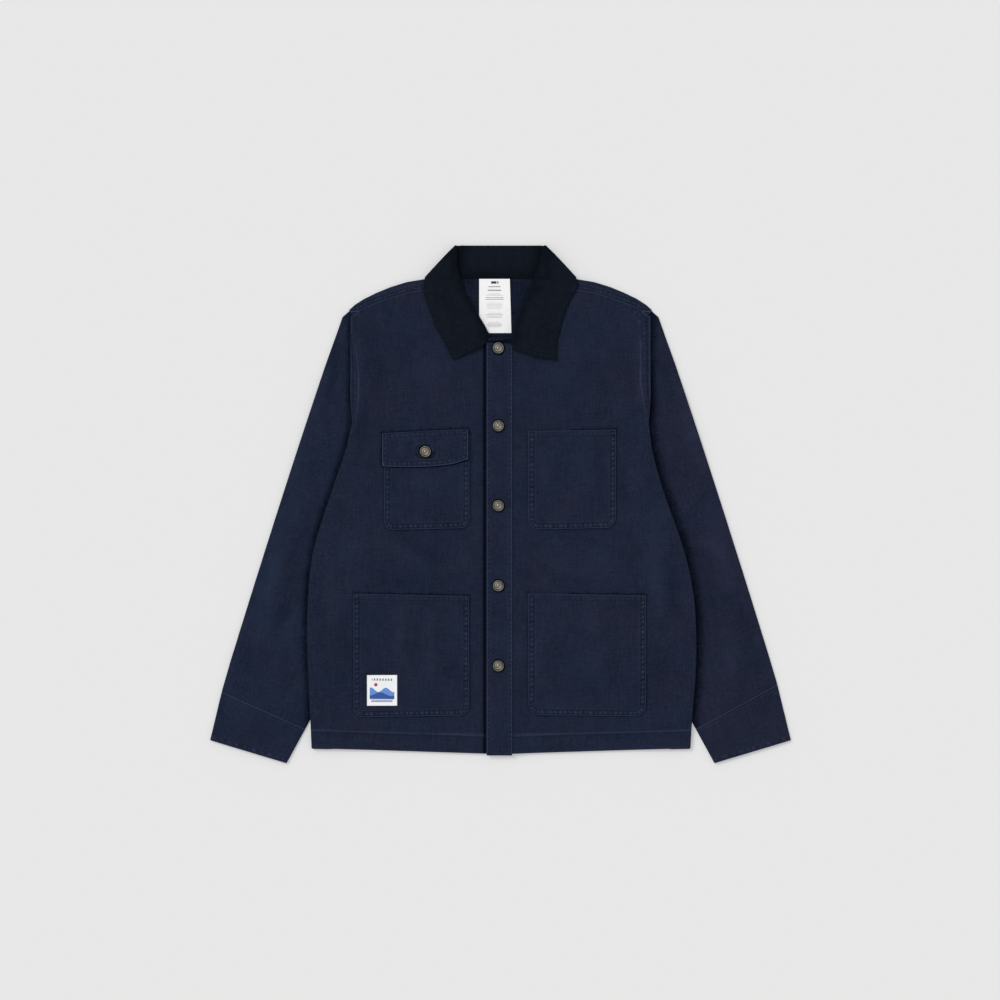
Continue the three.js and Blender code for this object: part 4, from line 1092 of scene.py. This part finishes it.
depsgraph = bpy.context.evaluated_depsgraph_get()
surfaces = {node: BVHTree.FromObject(piece, depsgraph) for node, piece in pieces.items()}


def sew_seams(nodes):
    """The stitches of all the seams of some pieces."""
    sewing = Sewing()
    for node in nodes:
        for seam in SEAMS[node]:
            for inset in seam["rows"]:
                sewing.row(node, inset, seam["keep"], width=seam.get("width"))
    return sewing


sew_seams([node for node in SEAMS if "pocket" in node]).done("pocket_stitches", NAVY_THREAD, "cloth")
sew_seams(["front_right", "front_left", "front_band", "back"]).done("body_stitches", NAVY_THREAD, "cloth")
sew_seams(["cuff_right", "cuff_left"]).done("cuff_stitches", NAVY_THREAD, "cloth")
collar_sewing = sew_seams(["collar"])
collar_sewing.line("collar", [(-52, 377.5), (50, 377.5)])
collar_sewing.done("collar_stitches", DARK_THREAD, "corduroy")

label_sewing = Sewing()
label_sewing.row("pocket_label", 1.3, all_round, pitch=2.2, half_length=0.8, half_width=0.2)
label_sewing.done("label_stitches", WHITE_THREAD, "pocket_label")

top_sewing = Sewing()
top_sewing.line("front_band", [(-18.5, 246.8), (4.5, 246.8)], pitch=2.6, half_width=0.4)
top_sewing.done("band_top_stitches", BLUE_THREAD, "cloth")

hole_sewing = Sewing()
slits = Sewing()


def buttonhole(end, y):
    """A slit that comes out beside its button, with stitches along both sides and a fan round its end."""
    band = surfaces["front_band"]
    size = {"half_length": 0.8, "half_width": 0.34}
    # A near-black strip stands for the slit: painted shade in its opening.
    slits.stitch(band, end - 3.6, y, 1, 0, half_length=4.0, half_width=0.75, rise=0.05)
    for count in range(10):
        x = end - 7.6 + 0.8 * count
        for side in (-1, 1):
            hole_sewing.stitch(band, x, y + side * 1.3, 0, 1, **size)
    for count in range(7):
        turn = math.radians(-75 + 25 * count)
        dx, dy = math.cos(turn), math.sin(turn)
        hole_sewing.stitch(band, end + 0.4 + 1.4 * dx, y + 1.4 * dy, dx, dy, **size)


# No buttonhole shows beside the top button.
for y in BUTTON_YS[1:]:
    buttonhole(12.2 if y > 100 else 13.4, y)
hole_sewing.done("buttonhole_stitches", DARK_THREAD, "cloth")
slits.done("buttonhole_slits", SLIT_SHADE, "cloth")

flap_sewing = Sewing()
for x in (-119.0, -115.8, -112.4, -109.0, -106.0):
    flap_sewing.stitch(surfaces["pocket_flap"], x, 62.6, 0.1, 1, half_length=1.2, half_width=0.4)
flap_sewing.done("flap_button_stitches", OLIVE_THREAD, "cloth")

# Floor, light and camera


def floor():
    half_side, below = 4, 0.0002
    material = bpy.data.materials.new("pale_floor")
    material.use_nodes = True
    shader = material.node_tree.nodes["Principled BSDF"]
    shader.inputs["Base Color"].default_value = (0.55, 0.55, 0.55, 1)
    shader.inputs["Emission Color"].default_value = (1, 1, 1, 1)
    shader.inputs["Emission Strength"].default_value = 0.25
    shader.inputs["Roughness"].default_value = 0.9
    shader.inputs["Specular IOR Level"].default_value = 0.0
    bm = bmesh.new()
    bmesh.ops.create_grid(bm, x_segments=1, y_segments=1, size=half_side)
    bmesh.ops.translate(bm, verts=bm.verts, vec=(0, 0, -below))
    mesh_object("floor", bm, material)


def soft_sun(strength, towards, spread):
    """An even, soft light from one side, as from a large lamp far away."""
    lamp = bpy.data.lights.new("key", "SUN")
    lamp.energy = strength
    lamp.angle = spread
    in_scene("key", lamp).rotation_euler = Vector(towards).to_track_quat("-Z", "Y").to_euler()


floor()
soft_sun(strength=1.42, towards=(1.6, -1.5, -2.6), spread=math.radians(26))
world = bpy.data.worlds.new("studio")
world.use_nodes = True
world.node_tree.nodes["Background"].inputs["Color"].default_value = (1, 1, 1, 1)
world.node_tree.nodes["Background"].inputs["Strength"].default_value = 0.66
bpy.context.scene.world = world
bpy.context.scene.view_settings.view_transform = "Standard"

lens = bpy.data.cameras.new("camera")
lens.lens = 85
lens.sensor_width = 36
camera = in_scene("camera", lens)
# Straight above the middle of the whole jacket
camera.location = (-0.75 * MM, 6.45 * MM, 3.5477)
bpy.context.scene.camera = camera
